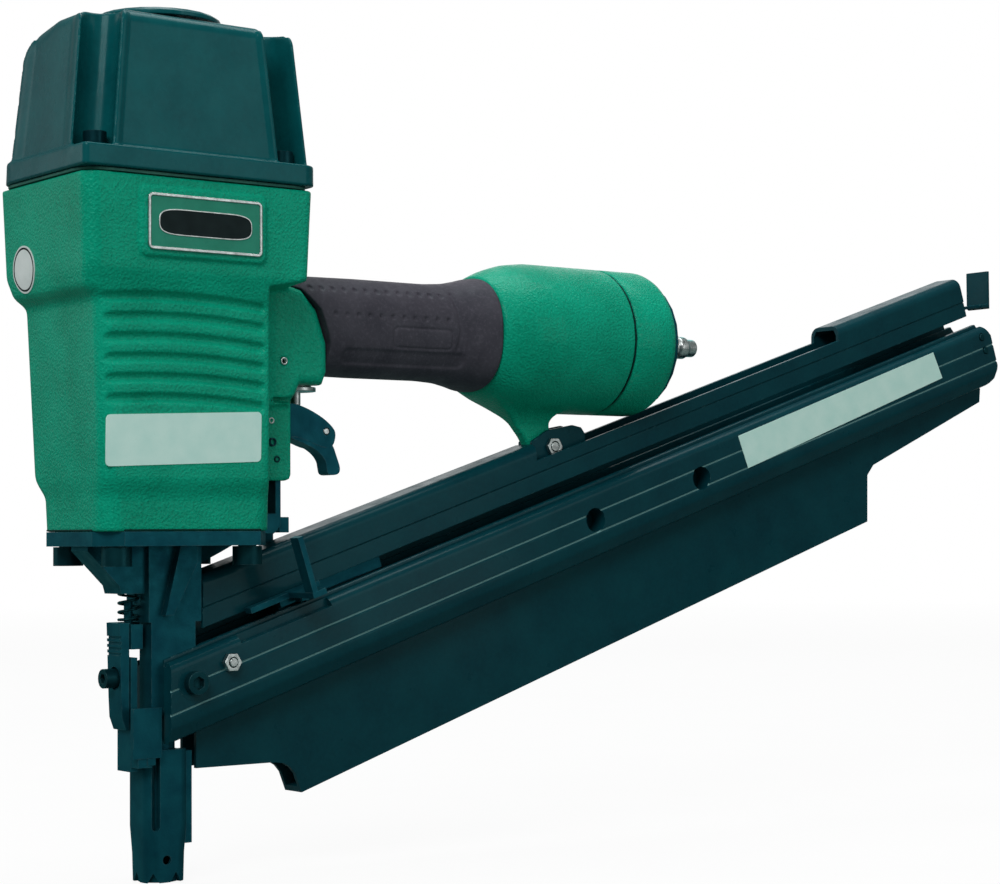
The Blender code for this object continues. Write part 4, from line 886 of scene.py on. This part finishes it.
def magazine_pieces():
    for name, side in (("near", -1), ("far", 1)):
        cheek = extrusion("cheek_" + name, cheek_section(side), (-30, 590))
        boolean(cheek, "INTERSECT", prism("clip", list(CHEEK_CLIP), (-40, 40)))
        tools = [block("relief", (-20, 13.6), (-10.3, 10.3), (40, 125))]
        reach = (min(side * 2, side * 25), max(side * 2, side * 25))
        tools += [hole(spot, reach, 6.0) for spot in CHEEK_HOLES]
        tools += [hole(spot, reach, 2.3, 24) for spot in REAR_PINS]
        if side < 0:
            boolean(cheek, "UNION", hole(FRONT_BOLT, (-17.15, -13.0), 7.6, 48))
            tools += [hole(FRONT_BOLT, reach, 3.3, 24), hole(FRONT_STUD, reach, 2.3, 24)]
            tools.append(slope_block("lever_relief", (62, 112), (-22, -13.5), (86.9, 97)))
        boolean(cheek, "DIFFERENCE", *tools)
        dress(cheek, CHEEK, 0.3, 30, replaces=("magazine_cheek_" + name,))

    near = [(-8.3, 98.4), (-10.1, 98.4), (-10.1, 106.3), (-9.75, 106.7), (-10.5, 107.1)]
    near += arc((-5.5, 115.6), 5.0, 180, 90, 8)
    far = arc((5.5, 115.6), 5.0, 90, 0, 8)
    far += [(10.5, 107.1), (9.75, 106.7), (10.1, 106.3), (10.1, 90.8), (8.3, 90.8), (8.3, 115.6),
            (6.6, 118.4)]
    rail = extrusion("rail_channel", near + far + [(-6.6, 118.4), (-8.3, 115.6)], (0, 576))
    opening = prism("opening", [(OPENING_X[0], 130), (OPENING_X[1], 130), (OPENING_X[1], 330),
                                (OPENING_X[0], 330)], (-20, 20))
    boolean(opening, "DIFFERENCE", slope_block("low", (-50, 640), (-40, 40), (20, LOW_WALL_UP)))
    boolean(rail, "DIFFERENCE", block("front", (-60, 16.5), (-20, 20), (60, 170)), opening)
    dress(rail, SATIN, 0.3, 30, replaces=("top_rail",))


# =========================================================================================
# frame pieces that keep their own shape
# =========================================================================================
KEPT = {
    "cap_gasket": SEAL, "base_gasket": DARK_SEAL, "end_cap_gasket": DARK_SEAL, "cylinder_seal": SEAL,
    "bumper": SEAL, "piston_ring": SEAL, "cylinder_sleeve": ALLOY, "piston": ALLOY,
    "driver_blade": STEEL, "head_valve": ACETAL, "end_plate": BLACK,
    "exhaust_deflector": TEAL, "deflector_screw": SCREW, "trigger_tongue": STEEL,
    "tongue_pin": STEEL, "valve_body": STEEL, "valve_stem": STEEL,
    "nose_body": BLACK, "contact_foot": BLACK, "depth_adjuster": BLACK, "adjuster_screw": SCREW,
    "safety_arm": BLACK, "safety_yoke": BLACK, "nail_guide": SATIN,
    "front_bolt": SCREW, "front_stud": STEEL, "front_nut": STEEL, "rear_pin_1": SCREW,
    "rear_pin_2": SCREW, "tail_bracket": SATIN, "strut_bolt": STEEL, "strut_nut": STEEL,
    "pusher_carriage": BLACK, "pusher_spring": STEEL, "pusher_lever": BLACK, "nail_stop": SATIN,
    **{"cap_screw_%d" % i: SCREW for i in (1, 2, 3, 4)},
    **{"base_screw_%d" % i: SCREW for i in (1, 2, 3, 4)},
}


def finish_kept():
    """Soften the edges of the frame's own pieces and give each its material."""
    for name, look in KEPT.items():
        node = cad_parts[name]
        node.data.materials.clear()
        node.data.materials.append(look)
        if "custom_normal" in node.data.attributes:
            node.data.attributes.remove(node.data.attributes["custom_normal"])
        for face in node.data.polygons:
            face.use_smooth = True
        for edge in node.data.edges:
            edge.use_edge_sharp = False
        weld = node.modifiers.new("weld", "WELD")
        weld.merge_threshold = 0.01 * MM
        flat = node.modifiers.new("flat faces", "DECIMATE")
        flat.decimate_type = "DISSOLVE"
        flat.angle_limit = math.radians(0.7)
        soften(node, 0.35, 31)


# =========================================================================================
# floor, light and camera
# =========================================================================================
CAMERA_AT = Vector((-0.5039, -0.9015, 0.1489)) + FROM_DRIVE
YAW, PITCH, ROLL = math.radians(37.54), math.radians(2.27), math.radians(-0.37)


def area_light(name, at, aim, size, watts):
    data = bpy.data.lights.new(name, "AREA")
    data.shape = "RECTANGLE"
    data.size, data.size_y = size
    data.energy = watts
    lamp = bpy.data.objects.new(name, data)
    lamp.location = Vector(at) + FROM_DRIVE
    lamp.rotation_euler = (Vector(aim) - Vector(at)).to_track_quat("-Z", "Y").to_euler()
    bpy.context.scene.collection.objects.link(lamp)


def pale_floor():
    """Near-white board that stays pale to the horizon and takes a faint shadow."""
    look = Look("pale_floor", 0.85)
    cloud = look.spread(look.noise(60, 4), 0.3, 0.7)
    seen = look.node("ShaderNodeLightPath").outputs["Is Camera Ray"]
    board = look.mix(cloud, (0.90, 0.91, 0.91), (0.95, 0.95, 0.95))
    colour = look.mix(seen, (0.16, 0.22, 0.21), board)
    look.use(colour, look.spread(look.noise(8, 3), 0.3, 0.7, 0.75, 0.95), look.bump(look.noise(2, 3), 0.02))
    glow = look.node("ShaderNodeEmission")
    pick = look.node("ShaderNodeMixShader")
    away = look.node("ShaderNodeVectorMath", operation="LENGTH")
    look.link(look.coords, away.inputs[0])
    share = look.spread(away.outputs["Value"], 0.6, 4.0, 0.92, 1.0)
    look.link(look.math("MULTIPLY", seen, share), pick.inputs[0])
    look.link(look.shader.outputs[0], pick.inputs[1])
    look.link(glow.outputs[0], pick.inputs[2])
    look.link(pick.outputs[0], look.tree.nodes["Material Output"].inputs["Surface"])
    return look.made


def studio():
    """A pale floor and background, soft light from above, and the camera."""
    scene = bpy.context.scene
    floor = solid("floor", [(-30000, -30000, -0.6), (30000, -30000, -0.6), (30000, 30000, -0.6),
                            (-30000, 30000, -0.6)], [[0, 1, 2, 3]])
    floor.data.materials.append(pale_floor())

    world = bpy.data.worlds.new("studio")
    scene.world = world
    world.use_nodes = True
    tree = world.node_tree
    tree.nodes.clear()
    seen = tree.nodes.new("ShaderNodeBackground")
    seen.inputs["Color"].default_value = (1, 1, 1, 1)
    felt = tree.nodes.new("ShaderNodeBackground")
    felt.inputs["Color"].default_value = (0.93, 1.0, 0.99, 1)
    felt.inputs["Strength"].default_value = 0.20
    pick = tree.nodes.new("ShaderNodeMixShader")
    path = tree.nodes.new("ShaderNodeLightPath")
    out = tree.nodes.new("ShaderNodeOutputWorld")
    tree.links.new(path.outputs["Is Camera Ray"], pick.inputs[0])
    tree.links.new(felt.outputs[0], pick.inputs[1])
    tree.links.new(seen.outputs[0], pick.inputs[2])
    tree.links.new(pick.outputs[0], out.inputs[0])

    area_light("key", (-1.3, -1.1, 1.5), (0.05, 0, 0.22), (1.3, 0.9), 24)
    area_light("top", (0.4, 0.1, 1.7), (0.2, 0, 0.2), (1.4, 0.8), 14)
    area_light("fill", (0.9, -1.7, 0.5), (0.2, 0, 0.2), (1.0, 1.2), 4)
    area_light("side", (-1.3, 1.35, 0.75), (0.0, 0, 0.28), (1.1, 1.2), 4)
    area_light("back", (1.2, 1.2, 0.9), (0.3, 0, 0.2), (1.2, 0.8), 3)

    data = bpy.data.cameras.new("camera")
    data.sensor_width = 36.0
    data.lens = 84.13
    data.clip_end = 100
    camera = bpy.data.objects.new("camera", data)
    view = Vector((math.sin(YAW) * math.cos(PITCH), math.cos(YAW) * math.cos(PITCH), math.sin(PITCH)))
    level = Vector((math.cos(YAW), -math.sin(YAW), 0))
    above = level.cross(view)
    right = level * math.cos(ROLL) + above * math.sin(ROLL)
    upright = above * math.cos(ROLL) - level * math.sin(ROLL)
    turn = Matrix((right, upright, -view)).transposed().to_4x4()
    camera.matrix_world = Matrix.Translation(CAMERA_AT) @ turn
    scene.collection.objects.link(camera)
    scene.camera = camera
    scene.view_settings.view_transform = "Standard"


casting_pieces()
badge_pieces()
label_pieces()
reservoir_cap()
hose_plug()
cross_pins()
trigger_piece()
springs()
magazine_pieces()
finish_kept()
studio()
